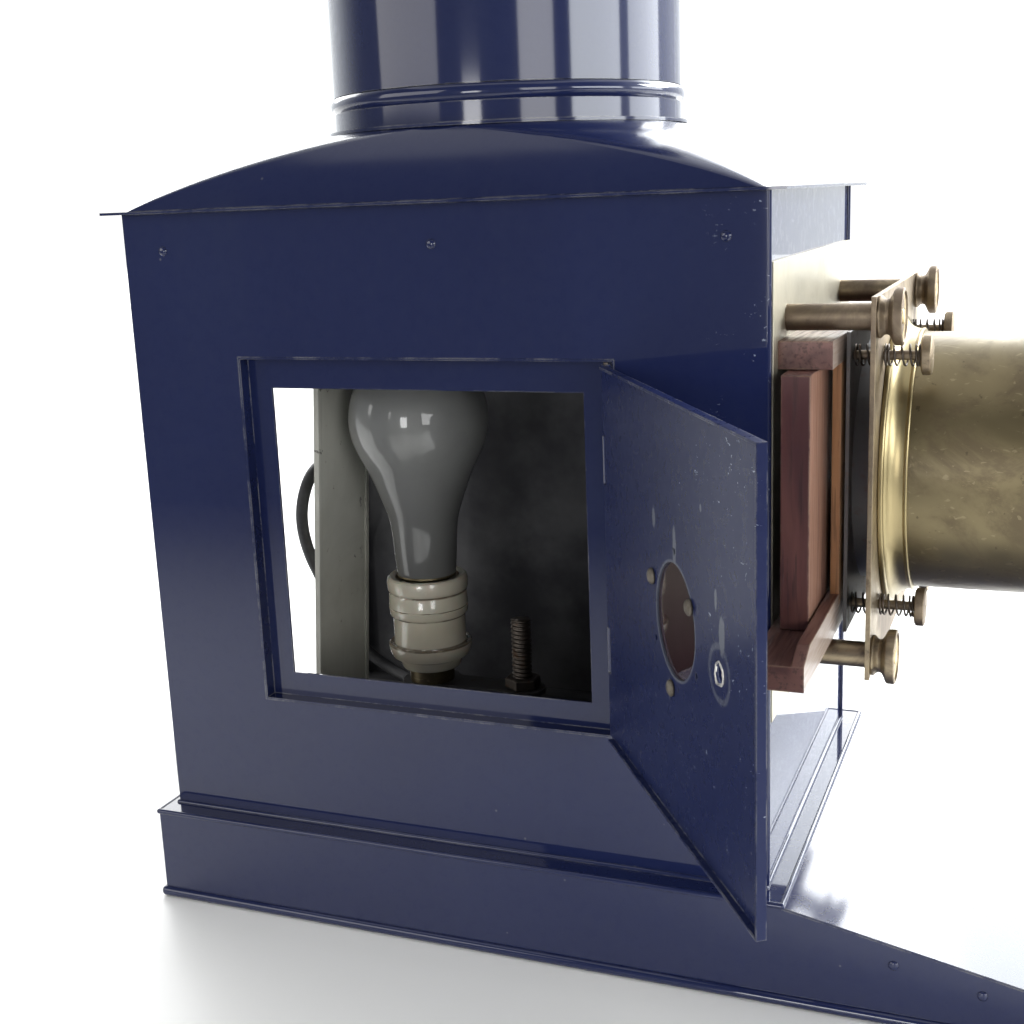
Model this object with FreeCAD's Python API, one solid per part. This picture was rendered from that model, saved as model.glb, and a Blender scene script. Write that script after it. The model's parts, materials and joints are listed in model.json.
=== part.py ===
import FreeCAD, Part

import math
import os

# Magic lantern with a sheet-metal lamphouse, a sprung slide stage and a large brass lens tube.
# Millimetres. Z up, table at Z = 0, +X towards the lens, -Y is the side with the lamp door.
# The origin is on the table under the middle of the lamphouse, in the optical mid-plane.

V = FreeCAD.Vector
X_AXIS = V(1, 0, 0)
Y_AXIS = V(0, 1, 0)
Z_AXIS = V(0, 0, 1)

# Driving sizes of the lamphouse and base
BODY_L = 300.0
BODY_W = 208.0
BODY_H = 293.0
SHEET = 1.0
BASE_H = 47.0
BACK_RIM = 5.0
FRONT_RIM = 9.0
SIDE_RIM = 11.0
DECK_SLOPE = math.radians(11.5)
DECK_STEP = 1.4
DECK_RUN = 151.0
RIM_BEAD_R = 1.3
FOOT_BEAD_R = 2.5
RIVET_R = 2.2
RIVET_HEIGHT = 1.1
SEAM_R = 1.5

BACK = -BODY_L / 2
FRONT = BODY_L / 2
SIDE = BODY_W / 2
TOP = BASE_H + BODY_H
BASE_BACK = BACK - BACK_RIM
BASE_STEP = FRONT + FRONT_RIM
BASE_FRONT = BASE_STEP + DECK_RUN
BASE_SIDE = SIDE + SIDE_RIM
DECK_TOP = BASE_H - DECK_STEP
BASE_FRONT_H = DECK_TOP - DECK_RUN * math.tan(DECK_SLOPE)

# Opening in the back wall, which the lamp tray draws out through
REAR_HALF = 88.0
REAR_TOP = 275.0

# Optical axis, along X
AXIS_Z = 217.0

# Door, its recess in the near wall and its hinge
RECESS = (-93.5, 87.0, 108.5, 274.5)
RECESS_DEPTH = 6.5
DOORWAY = (-80.5, 71.2, 121.2, 259.5)
HINGE_X = 83.8
HINGE_Y = -SIDE - 1.0
HINGE_PIN_R = 1.0
DOOR_FACE = HINGE_Y + 0.9
DOOR_OPEN = 123.6
DOOR_GAP = 0.8
DOOR_SIDE_GAP = 0.5
DOOR_FALL = 3.4
DOOR_FLANGE = 3.6
WINDOW_R = 21.5
WINDOW_X = -7.8
WINDOW_Z = 190.0
BEZEL_X = -3.4
BEZEL_Z = 187.9
BEZEL_R = 31.0
BEZEL_BORE = 20.5
BEZEL_DEPTH = 3.2
GLASS_R = 22.8
GLASS_DEPTH = 2.2
SCREW_CIRCLE = 24.7
SCREW_ANGLES = (30, 150, 270)
SCREW_SHANK_R = 1.6
LATCH_X = -53.4
LATCH_Z = 185.5
LATCH_R = 3.5

# Chimney
CHIMNEY_X = 3.0
CHIMNEY_R = 83.0
COLLAR_Z = 372.0
COLLAR_TOP = 389.0
PIPE_TOP = 500.0
COWL_R = 96.0
COWL_TOP = 541.0

# Slide stage and front plate
STAGE_FACE = 151.8
RAIL_FRONT = 173.5
CARRIER_X = (156.0, 167.5)
CARRIER_Z = (165.3, 269.0)
CARRIER_HALF = 106.5
SLIDE_SIZE = 82.0
PILLAR_AT = 71.5
PILLAR_R = 5.5
STUD_R = 3.0
FRONT_PLATE_X = (186.5, 188.5)
FRONT_PLATE_HALF = 80.0
PRESSURE_X = (175.0, 176.5)
SCREW_AT = 54.0
SCREW_R = 2.0
RUNNING = 0.06

# Lens
TUBE_R = 58.0
TUBE_WALL = 1.2
TUBE_FRONT = 282.0
JACKET_R = 37.0
JACKET_BORE = 35.6
JACKET_X = (266.0, 322.0)
DRAW_R = JACKET_BORE - RUNNING
DRAW_BORE = 34.2
DRAW_X = (250.0, 345.0)
GEAR_MODULE = 1.0
PINION_TEETH = 12
PINION_PITCH_R = GEAR_MODULE * PINION_TEETH / 2
PINION_X = 300.0
RACK_PITCH_Z = AXIS_Z + 38.5
PINION_Z = RACK_PITCH_Z + PINION_PITCH_R
SHAFT_R = 2.0

# Lamp tray and lamp
LAMP_X = -54.0
TRAY_Z = BASE_H + 0.4
TRAY_SHEET = 1.2
TRAY_HALF = 66.0
TRAY_X = (-144.0, 40.0)
TRAY_LIP = 9.0
SCREW_ROD_X = -1.0
SCREW_ROD_R = 5.5
ARM_Z = (84.0, 87.0)
HOLDER_FOOT = 95.0
HOLDER_TOP = 146.0
REFLECTOR_X = -103.0
REFLECTOR_HALF = 28.0
REFLECTOR_TILT = 4.0

# Mains cord
CORD_R = 3.4
COIL_X = -217.0
COIL_Y = 72.0
COIL_R = 37.0
COIL_HALF_WIDTH = 10.5
COIL_HEIGHT = 14.2
GRIP_START = V(LAMP_X - 5.2, 9.0, 70.0)
GRIP_END = V(-69.5, 26.8, 68.0)
CORD_ROUTE = [
    GRIP_END,
    V(-86, 46, 65),
    V(-107, 57, 66),
    V(-125, 54, 79),
    V(-133, 43, 101),
    V(-136, 30, 127),
    V(-136, 14, 152),
    V(-136, 10.3, 174),
    V(-136, 22.8, 192),
    V(-138, 44, 196),
    V(-142, 64, 182),
    V(-148, 73, 157),
    V(-155, 82, 130),
    V(-160, 92, 104),
    V(-163.5, 101, 78),
    V(-165.5, 107, 55),
    V(-166, 106.5, 34),
    V(-166, 97.5, 17),
    V(-165.4, 84.5, 7.2),
    V(-165.4, 72.2, 3.9),
    V(-167.6, 60, 3.6),
]
PLUG_X = -264.5
PLUG_Y = 128.0
PLUG_R = 14.0
PLUG_LENGTH = 32.0
TAIL_ROUTE = [
    V(COIL_X - COIL_R - 7, 72, 10.6),
    V(-262.3, 90, 10.9),
    V(-263.2, 108, 12.6),
    V(PLUG_X, PLUG_Y, PLUG_R + 0.2),
]


def block(x0, x1, y0, y1, z0, z1):
    return Part.makeBox(x1 - x0, y1 - y0, z1 - z0, V(x0, y0, z0))


def rod(radius, start, axis, length):
    return Part.makeCylinder(radius, length, start, axis)


def sleeve(outer, inner, start, axis, length):
    return rod(outer, start, axis, length).cut(rod(inner, start, axis, length))


def on_axis(x):
    return V(x, 0, AXIS_Z)


def group(solids):
    return Part.makeCompound(solids)


def fuse(solids):
    return solids[0].multiFuse(solids[1:]).removeSplitter()


def spin(edges_or_points, base, axis):
    """Solid of revolution of a closed outline, given as points or as edges."""
    if isinstance(edges_or_points[0], V):
        points = edges_or_points + [edges_or_points[0]]
        wire = Part.makePolygon(points)
    else:
        wire = Part.Wire(edges_or_points)
    return Part.Face(wire).revolve(base, axis, 360)


def lathe_x(outline, centre_y=0.0, centre_z=AXIS_Z):
    """Solid of revolution about a line along X, from (x, r) pairs."""
    points = [V(x, centre_y, centre_z + r) for x, r in outline]
    return spin(points, V(0, centre_y, centre_z), X_AXIS)


def lathe_z(outline, centre_x, centre_y=0.0):
    """Solid of revolution about a vertical line, from (r, z) pairs."""
    points = [V(centre_x + r, centre_y, z) for r, z in outline]
    return spin(points, V(centre_x, centre_y, 0), Z_AXIS)


def prism_y(outline, y0, y1):
    """Outline in the XZ plane, from (x, z) pairs, drawn out along Y."""
    points = [V(x, y0, z) for x, z in outline]
    wire = Part.makePolygon(points + [points[0]])
    return Part.Face(wire).extrude(V(0, y1 - y0, 0))


def corners(half):
    return [(sy * half, AXIS_Z + sz * half) for sy in (-1, 1) for sz in (-1, 1)]


# ---- base ----

def base_tray():
    top = BASE_H - SHEET
    drop = SHEET / math.cos(DECK_SLOPE)
    low = BASE_FRONT_H - drop
    outline = [(BASE_BACK, 0), (BASE_FRONT, 0), (BASE_FRONT, low), (BASE_STEP, DECK_TOP - drop),
               (BASE_STEP, top), (BASE_BACK, top)]
    shell = prism_y(outline, -BASE_SIDE, BASE_SIDE)
    x0, x1, y1 = BASE_BACK + SHEET, BASE_FRONT - SHEET, BASE_SIDE - SHEET
    return shell.cut(block(x0, x1, -y1, y1, SHEET, BASE_H))


def floor_plate():
    return block(BASE_BACK, BASE_STEP, -BASE_SIDE, BASE_SIDE, BASE_H - SHEET, BASE_H)


def front_deck():
    drop = SHEET / math.cos(DECK_SLOPE)
    outline = [
        (BASE_STEP, DECK_TOP - drop),
        (BASE_FRONT, BASE_FRONT_H - drop),
        (BASE_FRONT, BASE_FRONT_H),
        (BASE_STEP, DECK_TOP),
    ]
    return prism_y(outline, -BASE_SIDE, BASE_SIDE)


def bar_frame(x0, x1, half_y, z, radius):
    """Round bar bent to a rectangle, with ball corners."""
    length = x1 - x0
    bars = []
    for y in (-half_y, half_y):
        bars.append(rod(radius, V(x0, y, z), X_AXIS, length))
    for x in (x0, x1):
        bars.append(rod(radius, V(x, -half_y, z), Y_AXIS, 2 * half_y))
    for x in (x0, x1):
        for y in (-half_y, half_y):
            bars.append(Part.makeSphere(radius, V(x, y, z)))
    return fuse(bars)


def rim_bead():
    """Round bead along the base's rim, and the soldered seam along the lamphouse's foot."""
    bead = bar_frame(BASE_BACK, BASE_STEP, BASE_SIDE, BASE_H - RIM_BEAD_R + 0.4, RIM_BEAD_R)
    under = block(BASE_BACK, BASE_STEP, -BASE_SIDE, BASE_SIDE, 0, BASE_H)
    ramp = prism_y([(BASE_STEP, 0), (BASE_FRONT, 0), (BASE_FRONT, BASE_FRONT_H), (BASE_STEP, DECK_TOP)],
                   -BASE_SIDE, BASE_SIDE)
    seam = bar_frame(BACK, FRONT, SIDE, BASE_H, SEAM_R)
    seam = seam.cut(block(BACK, FRONT, -SIDE, SIDE, BASE_H - 5, TOP))
    seam = seam.cut(block(BASE_BACK, BASE_STEP, -BASE_SIDE, BASE_SIDE, 0, BASE_H))
    seam = seam.cut(block(BASE_BACK, BACK + 5, -REAR_HALF, REAR_HALF, BASE_H, TOP))
    return group([bead.cut(under).cut(ramp), seam])


def foot_bead():
    bead = bar_frame(BASE_BACK, BASE_FRONT, BASE_SIDE, FOOT_BEAD_R, FOOT_BEAD_R)
    return bead.cut(block(BASE_BACK, BASE_FRONT, -BASE_SIDE, BASE_SIDE, -1, BASE_H))


# ---- lamphouse ----

def side_wall(side):
    """Side sheet with a round folded seam at the front corner, proud of the front wall."""
    y0, y1 = sorted((side * SIDE, side * (SIDE - SHEET)))
    wall = block(BACK, FRONT, y0, y1, BASE_H, TOP)
    foot = V(FRONT, side * (SIDE - SEAM_R), BASE_H + SEAM_R)
    seam = rod(SEAM_R, foot, Z_AXIS, BODY_H - SEAM_R)
    seam = seam.cut(block(BACK, FRONT, -SIDE, SIDE, BASE_H, TOP))
    return wall.fuse(seam)


def near_wall():
    x0, x1, z0, z1 = RECESS
    return side_wall(-1).cut(block(x0, x1, -SIDE - 1, 1 - SIDE + SHEET, z0, z1))


def far_wall():
    return side_wall(1)


def front_wall():
    inner = SIDE - SHEET
    wall = block(FRONT - SHEET, FRONT, -inner, inner, BASE_H, TOP)
    return wall.cut(rod(54.0, on_axis(FRONT - 5), X_AXIS, 10))


def back_wall():
    inner = SIDE - SHEET
    wall = block(BACK, BACK + SHEET, -inner, inner, BASE_H, TOP)
    return wall.cut(block(BACK - 1, BACK + 5, -REAR_HALF, REAR_HALF, BASE_H, REAR_TOP))


def door_frame():
    x0, x1, z0, z1 = RECESS
    u0, u1, w0, w1 = DOORWAY
    front, back = -SIDE, -SIDE + RECESS_DEPTH
    tray = block(x0, x1, front, back + SHEET, z0, z1)
    tray = tray.cut(block(x0 + SHEET, x1 - SHEET, front - 1, back, z0 + SHEET, z1 - SHEET))
    return tray.cut(block(u0, u1, front - 1, back + 5, w0, w1))


def eaves_flange():
    plate = block(BACK - 8.5, FRONT + 8.5, -SIDE - 5, SIDE + 5, TOP, TOP + 1.2)
    return plate.cut(block(BACK + 3, FRONT - 3, 3 - SIDE, SIDE - 3, TOP - 1, TOP + 3))


def round_rectangle(cx, half_x, half_y, radius, z):
    """Closed outline of four lines and four arcs at height z."""
    edges = []
    k = math.sqrt(0.5)
    for i in range(4):
        sx = (1, -1, -1, 1)[i]
        sy = (1, 1, -1, -1)[i]
        centre = V(cx + sx * (half_x - radius), sy * (half_y - radius), z)
        a = V(sx * radius, 0, 0)
        b = V(0, sy * radius, 0)
        if sx * sy < 0:
            a, b = b, a
        middle = V(sx * radius * k, sy * radius * k, 0)
        edges.append(Part.Arc(centre + a, centre + middle, centre + b).toShape())
    loop = []
    for i in range(4):
        loop.append(edges[i])
        start = edges[i].Vertexes[-1].Point
        end = edges[(i + 1) % 4].Vertexes[0].Point
        loop.append(Part.LineSegment(start, end).toShape())
    return Part.Wire(loop)


def dome_solid(inset):
    """Hipped dome from the rectangular eaves to the round chimney opening."""
    base_z = TOP + 1.2
    rise = COLLAR_Z - base_z
    sections = []
    for s in (0.0, 0.2, 0.45, 0.7, 1.0):
        height = math.sin(s * math.radians(62)) / math.sin(math.radians(62))
        half_x = BODY_L / 2 + (CHIMNEY_R + 1.5 - BODY_L / 2) * s - inset
        half_y = BODY_W / 2 + (CHIMNEY_R + 1.5 - BODY_W / 2) * s - inset
        radius = 4.0 + (CHIMNEY_R - 1.0 - 4.0) * s ** 1.3
        z = base_z + rise * height - inset * (0.0 if s in (0.0, 1.0) else 1.0)
        sections.append(round_rectangle(CHIMNEY_X * s, half_x, half_y, radius, z))
    return Part.makeLoft(sections, True, False)


def roof_dome():
    shell = dome_solid(0.0).cut(dome_solid(SHEET))
    return shell.cut(rod(CHIMNEY_R - 1, V(CHIMNEY_X, 0, TOP), Z_AXIS, 60))


def chimney_collar():
    r, z0, z1 = CHIMNEY_R, COLLAR_Z, COLLAR_TOP
    bead_z = z1 - 3.5
    c = CHIMNEY_X
    points = [(r - 1, z0), (r + 3, z0), (r + 3, z0 + 1.5), (r, z0 + 1.5), (r, z1 - 7)]
    edges = [Part.LineSegment(V(c + a[0], 0, a[1]), V(c + b[0], 0, b[1])).toShape()
             for a, b in zip(points, points[1:])]
    edges.append(Part.Arc(V(c + r, 0, z1 - 7), V(c + r + 1.7, 0, bead_z), V(c + r, 0, z1)).toShape())
    edges.append(Part.LineSegment(V(c + r, 0, z1), V(c + r - 1, 0, z1)).toShape())
    edges.append(Part.LineSegment(V(c + r - 1, 0, z1), V(c + r - 1, 0, z0)).toShape())
    return spin(edges, V(c, 0, 0), Z_AXIS)


def chimney_pipe():
    r, spigot = CHIMNEY_R, CHIMNEY_R - 1.6
    seat = COLLAR_TOP + 0.3
    outline = [
        (spigot - 1, COLLAR_Z + 2), (spigot, COLLAR_Z + 2), (spigot, seat), (r, seat),
        (r, PIPE_TOP), (r - 1, PIPE_TOP), (r - 1, seat + 1.2), (spigot - 1, seat + 1.2),
    ]
    return lathe_z(outline, CHIMNEY_X)


def chimney_cowl():
    r, skirt = COWL_R, PIPE_TOP - 14
    shoulder = COWL_TOP - 16
    outline = [
        (r - 1, skirt), (r, skirt), (r, shoulder), (28, COWL_TOP), (0, COWL_TOP + 1.5),
        (0, COWL_TOP + 0.4), (28, COWL_TOP - 1.1), (r - 1, shoulder - 0.8),
    ]
    return lathe_z(outline, CHIMNEY_X)


def cowl_struts():
    struts = []
    for i in range(3):
        strut = block(CHIMNEY_R, COWL_R - 1, -4, 4, PIPE_TOP - 12, PIPE_TOP - 2)
        strut = strut.cut(rod(CHIMNEY_R, V(0, 0, PIPE_TOP - 20), Z_AXIS, 40))
        strut = strut.common(rod(COWL_R - 1, V(0, 0, PIPE_TOP - 20), Z_AXIS, 40))
        strut.rotate(V(0, 0, 0), Z_AXIS, 90 + 120 * i)
        strut.translate(V(CHIMNEY_X, 0, 0))
        struts.append(strut)
    return group(struts)


def rivet(point, axis):
    return Part.makeCone(RIVET_R, RIVET_R * 0.55, RIVET_HEIGHT, point, axis)


def body_rivets():
    heads = []
    for side in (-1, 1):
        out = V(0, side, 0)
        for x in (-129, 7, 134):
            heads.append(rivet(V(x, side * SIDE, 323), out))
        for x in (205, 240, 275, 303):
            z = DECK_TOP - (x - BASE_STEP) * math.tan(DECK_SLOPE) - 9.2
            heads.append(rivet(V(x, side * BASE_SIDE, z), out))
    for y in (-88, 0, 88):
        heads.append(rivet(V(BASE_BACK, y, 34), V(-1, 0, 0)))
    return group(heads)


# ---- lamp door ----

def knuckle_spans():
    """(z0, z1, on_door) for each knuckle of the hinge, from the bottom up."""
    return [(110.3, 139.7, True), (140, 160, False), (160.3, 222.7, True),
            (223, 243, False), (243.3, 272.7, True)]


def hinge_leaf():
    leaves = []
    for z0, z1, on_door in knuckle_spans():
        if on_door:
            continue
        centre = V(HINGE_X, HINGE_Y, z0)
        tube = rod(2.2, centre, Z_AXIS, z1 - z0)
        plate = block(HINGE_X + 1.2, HINGE_X + 2.2, HINGE_Y, -SIDE + RECESS_DEPTH - 0.5, z0, z1)
        leaf = tube.fuse(plate).cut(rod(HINGE_PIN_R, centre, Z_AXIS, z1 - z0))
        leaves.append(leaf)
    return group(leaves)


def hinge_pin():
    return rod(HINGE_PIN_R, V(HINGE_X, HINGE_Y, 109.6), Z_AXIS, 163.8)


def opened(shape):
    shape.rotate(V(HINGE_X, HINGE_Y, 0), Z_AXIS, DOOR_OPEN)
    return shape


def door_outline(x0, x1, z0, z1, fall):
    """Door outline in the XZ plane, whose top edge falls towards the free side at x0."""
    return [(x0, z0), (x1, z0), (x1, z1 - fall * (HINGE_X - x1) / (HINGE_X - x0)), (x0, z1 - fall)]


def door_panel():
    """Sheet with flanges on three sides, knuckles on the fourth, and its holes."""
    x0 = RECESS[0] + SHEET + DOOR_SIDE_GAP
    z0, z1 = RECESS[2] + SHEET + DOOR_GAP, RECESS[3] - SHEET - DOOR_GAP
    face = DOOR_FACE
    back = face + DOOR_FLANGE
    panel = prism_y(door_outline(x0, HINGE_X, z0, z1, DOOR_FALL), face, face + SHEET)
    flanges = prism_y(door_outline(x0, HINGE_X - 6, z0, z1, DOOR_FALL), face, back)
    inside = door_outline(x0 + SHEET, HINGE_X, z0 + SHEET, z1 - SHEET, DOOR_FALL)
    parts = [flanges.cut(prism_y(inside, face, back))]
    for k0, k1, on_door in knuckle_spans():
        if on_door:
            parts.append(rod(1.9, V(HINGE_X, HINGE_Y, k0), Z_AXIS, k1 - k0))
        else:
            panel = panel.cut(block(HINGE_X - 3.5, HINGE_X + 3, face - 1, back, k0 - 0.3, k1 + 0.3))
    door = panel.multiFuse(parts)
    door = door.cut(rod(HINGE_PIN_R + RUNNING, V(HINGE_X, HINGE_Y, z0 - 5), Z_AXIS, z1 - z0 + 10))
    door = door.cut(rod(WINDOW_R, V(WINDOW_X, face - 5, WINDOW_Z), Y_AXIS, 20))
    door = door.cut(rod(LATCH_R, V(LATCH_X, face - 5, LATCH_Z), Y_AXIS, 20))
    for angle in (90, 210, 330):
        old_hole = around(WINDOW_X, WINDOW_Z, angle, WINDOW_R + 4.5, face - 5)
        door = door.cut(rod(1.2, old_hole, Y_AXIS, 20))
    for angle in SCREW_ANGLES:
        door = door.cut(rod(SCREW_SHANK_R, screw_point(angle, face - 5), Y_AXIS, 20))
    return opened(door)


def around(x, z, angle, radius, y):
    """Point of a circle on the closed door, at an angle in degrees from -X towards +Z."""
    a = math.radians(angle)
    return V(x - radius * math.cos(a), y, z + radius * math.sin(a))


def screw_point(angle, y):
    return around(BEZEL_X, BEZEL_Z, angle, SCREW_CIRCLE, y)


def window_bezel():
    """Ring outside the door, refitted off-centre to the door's hole."""
    front = V(BEZEL_X, DOOR_FACE - BEZEL_DEPTH, BEZEL_Z)
    ring = sleeve(BEZEL_R, BEZEL_BORE, front, Y_AXIS, BEZEL_DEPTH)
    ring = ring.cut(rod(GLASS_R, V(BEZEL_X, DOOR_FACE - GLASS_DEPTH, BEZEL_Z), Y_AXIS, GLASS_DEPTH))
    for angle in SCREW_ANGLES:
        ring = ring.cut(rod(SCREW_SHANK_R, screw_point(angle, DOOR_FACE - 5), Y_AXIS, 8))
    return opened(ring)


def window_glass():
    return opened(rod(GLASS_R, V(BEZEL_X, DOOR_FACE - GLASS_DEPTH, BEZEL_Z), Y_AXIS, GLASS_DEPTH))


def window_screws():
    head_height = 1.5
    screws = []
    for angle in SCREW_ANGLES:
        shank = rod(SCREW_SHANK_R, screw_point(angle, DOOR_FACE - BEZEL_DEPTH), Y_AXIS, 6.5)
        head = rod(3.0, screw_point(angle, DOOR_FACE - BEZEL_DEPTH - head_height), Y_AXIS, head_height)
        nut = rod(3.2, screw_point(angle, DOOR_FACE + SHEET), Y_AXIS, 2.0)
        screws.append(opened(fuse([shank, head, nut])))
    return group(screws)


# ---- slide stage ----

def stage_plate():
    plate = block(FRONT, STAGE_FACE, -100.5, 100.5, 122, 312.5)
    return plate.cut(rod(49.0, on_axis(FRONT - 5), X_AXIS, 10))


def pillars():
    return group([rod(PILLAR_R, V(STAGE_FACE, y, z), X_AXIS, FRONT_PLATE_X[0] - STAGE_FACE).fuse(
        rod(STUD_R, V(FRONT_PLATE_X[0], y, z), X_AXIS, 10)) for y, z in corners(PILLAR_AT)])


def front_plate():
    x0, x1 = FRONT_PLATE_X
    h = FRONT_PLATE_HALF
    plate = block(x0, x1, -h, h, AXIS_Z - h, AXIS_Z + h)
    plate = plate.cut(rod(57.5, on_axis(x0 - 5), X_AXIS, 20))
    for y, z in corners(PILLAR_AT):
        plate = plate.cut(rod(STUD_R, V(x0 - 5, y, z), X_AXIS, 20))
    for y, z in corners(SCREW_AT):
        plate = plate.cut(rod(SCREW_R + RUNNING, V(x0 - 5, y, z), X_AXIS, 20))
    return plate


def thumb_nuts():
    x = FRONT_PLATE_X[1]
    profile = [(x, STUD_R), (x, 8.6), (x + 1.6, 8.6), (x + 3.0, 7.0), (x + 4.6, 7.6), (x + 6.0, 11.6),
               (x + 10.2, 11.6), (x + 10.2, 9.6), (x + 9.4, 9.0), (x + 9.4, STUD_R)]
    return group([lathe_x(profile, y, z) for y, z in corners(PILLAR_AT)])


def pressure_plate():
    x0, x1 = PRESSURE_X
    h = 64.5
    plate = block(x0, x1, -h, h, AXIS_Z - h, AXIS_Z + h)
    collar = rod(55.0, on_axis(x1), X_AXIS, 14)
    return plate.fuse(collar).cut(rod(54.0, on_axis(x0 - 5), X_AXIS, 40))


def spring_screws():
    x0 = PRESSURE_X[1]
    screws = []
    for y, z in corners(SCREW_AT):
        shank = rod(SCREW_R, V(x0, y, z), X_AXIS, 28.5)
        head = rod(8.2, V(204.0, y, z), X_AXIS, 4.2)
        screws.append(shank.fuse(head))
    return group(screws)


def spring_sleeves(x0, x1, outer):
    inner = SCREW_R + 0.8
    return group([sleeve(outer, inner, V(x0, y, z), X_AXIS, x1 - x0) for y, z in corners(SCREW_AT)])


def inner_springs():
    return spring_sleeves(PRESSURE_X[1] + 0.2, FRONT_PLATE_X[0] - 0.2, 4.8)


def outer_springs():
    return spring_sleeves(FRONT_PLATE_X[1] + 0.2, 203.8, 4.8)


def top_rail():
    return block(STAGE_FACE, RAIL_FRONT, -91, 91, 269.4, 280.7)


def bottom_rail():
    ledge = block(STAGE_FACE, RAIL_FRONT, -150, 150, 155, 165)
    lip = block(168.5, RAIL_FRONT, -150, 150, 165, 170)
    for side in (-1, 1):
        wedge = Part.makePolygon([V(168, side * 150.5, 164.9), V(168, side * 150.5, 170.5),
                                  V(168, side * 136, 170.5), V(168, side * 150.5, 164.9)])
        lip = lip.cut(Part.Face(wedge).extrude(V(8, 0, 0)))
    rail = ledge.fuse(lip)
    return rail.cut(block(169.8, RAIL_FRONT + 1, -67, 67, 165, 171)).removeSplitter()


def aperture_board():
    board = block(169.8, RAIL_FRONT, -67, 67, 165, 269.4)
    return board.cut(rod(51.0, on_axis(165), X_AXIS, 12))


def carrier_frame():
    x0, x1 = CARRIER_X
    z0, z1 = CARRIER_Z
    frame = block(x0, x1, -CARRIER_HALF, CARRIER_HALF, z0, z1)
    half = SLIDE_SIZE / 2
    frame = frame.cut(block(x0 - 1, x1 + 1, 4 - half, half - 4, AXIS_Z + 4 - half, AXIS_Z + half - 4))
    return frame.cut(block(160.0, 163.6, -half - 0.4, half + 0.4, AXIS_Z - half - 0.2, z1 + 1))


def glass_slides():
    half = SLIDE_SIZE / 2
    return block(160.2, 163.4, -half, half, AXIS_Z - half, AXIS_Z + half)


# ---- condenser ----

def condenser_barrel():
    return sleeve(54.0, 52.8, on_axis(104), X_AXIS, FRONT - 104)


def plano_convex(x_plane, direction, radius, edge, bulge):
    """Flat side at x_plane, domed side towards direction."""
    middle = radius * 0.5
    sphere_r = (radius ** 2 + bulge ** 2) / (2 * bulge)
    middle_bulge = math.sqrt(sphere_r ** 2 - middle ** 2) - (sphere_r - bulge)
    flat, rim = V(x_plane, 0, AXIS_Z), V(x_plane, 0, AXIS_Z + radius)
    rim2 = V(x_plane + direction * edge, 0, AXIS_Z + radius)
    mid = V(x_plane + direction * (edge + middle_bulge), 0, AXIS_Z + middle)
    tip = V(x_plane + direction * (edge + bulge), 0, AXIS_Z)
    edges = [
        Part.LineSegment(flat, rim).toShape(),
        Part.LineSegment(rim, rim2).toShape(),
        Part.Arc(rim2, mid, tip).toShape(),
        Part.LineSegment(tip, flat).toShape(),
    ]
    return spin(edges, on_axis(0), X_AXIS)


def condenser_lenses():
    return group([plano_convex(108, 1, 52.8, 3, 12), plano_convex(146, -1, 52.8, 3, 12)])


def condenser_rings():
    return group([
        sleeve(52.8, 48.0, on_axis(106), X_AXIS, 2),
        sleeve(52.8, 51.8, on_axis(111.5), X_AXIS, 31),
        sleeve(52.8, 48.0, on_axis(146), X_AXIS, 2),
    ])


# ---- lens ----

def bell_flange():
    x = FRONT_PLATE_X[1]
    r = TUBE_R
    sweep_start, sweep_end = V(x + 2.4, 0, AXIS_Z + 65.0), V(x + 10.0, 0, AXIS_Z + r + 1.2)
    sweep_mid = V(x + 5.0, 0, AXIS_Z + r + 3.0)
    points = [V(x + 11.4, 0, AXIS_Z + r + 1.2), V(x + 11.4, 0, AXIS_Z + r), V(x, 0, AXIS_Z + r),
              V(x, 0, AXIS_Z + 67.0), V(x + 2.4, 0, AXIS_Z + 67.0), sweep_start]
    edges = [Part.Arc(sweep_start, sweep_mid, sweep_end).toShape()]
    for a, b in zip([sweep_end] + points, points):
        edges.append(Part.LineSegment(a, b).toShape())
    return spin(edges, on_axis(0), X_AXIS)


def lens_tube():
    x = FRONT_PLATE_X[1]
    return sleeve(TUBE_R, TUBE_R - TUBE_WALL, on_axis(x), X_AXIS, TUBE_FRONT - x)


def lens_tube_cap():
    x = TUBE_FRONT
    r = TUBE_R
    outline = [(x - 8, r), (x - 8, r + 1.2), (x + 1.4, r + 1.2), (x + 2.6, r), (x + 2.6, JACKET_R + 4),
               (x + 4.2, JACKET_R + 4), (x + 4.2, JACKET_R), (x, JACKET_R), (x, r)]
    return lathe_x(outline).cut(rack_slot(x - 10, x + 10))


def rack_slot(x0, x1):
    """Clearance for the rack on top of the draw tube."""
    return block(x0, x1, -3.6, 3.6, AXIS_Z + 30, AXIS_Z + 45)


def objective_jacket():
    x0, x1 = JACKET_X
    jacket = rod(JACKET_R, on_axis(x0), X_AXIS, x1 - x0)
    rim = rod(JACKET_R + 1.6, on_axis(x1 - 5), X_AXIS, 5)
    cheeks = [block(PINION_X - 9, PINION_X + 9, y, y + 3, AXIS_Z + 30, PINION_Z + 6) for y in (-8.5, 5.5)]
    jacket = fuse([jacket, rim] + cheeks)
    jacket = jacket.cut(rod(JACKET_BORE, on_axis(x0 - 5), X_AXIS, 80))
    jacket = jacket.cut(rack_slot(x0 - 5, x1 + 5))
    return jacket.cut(rod(SHAFT_R + RUNNING, V(PINION_X, -20, PINION_Z), Y_AXIS, 40))


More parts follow.
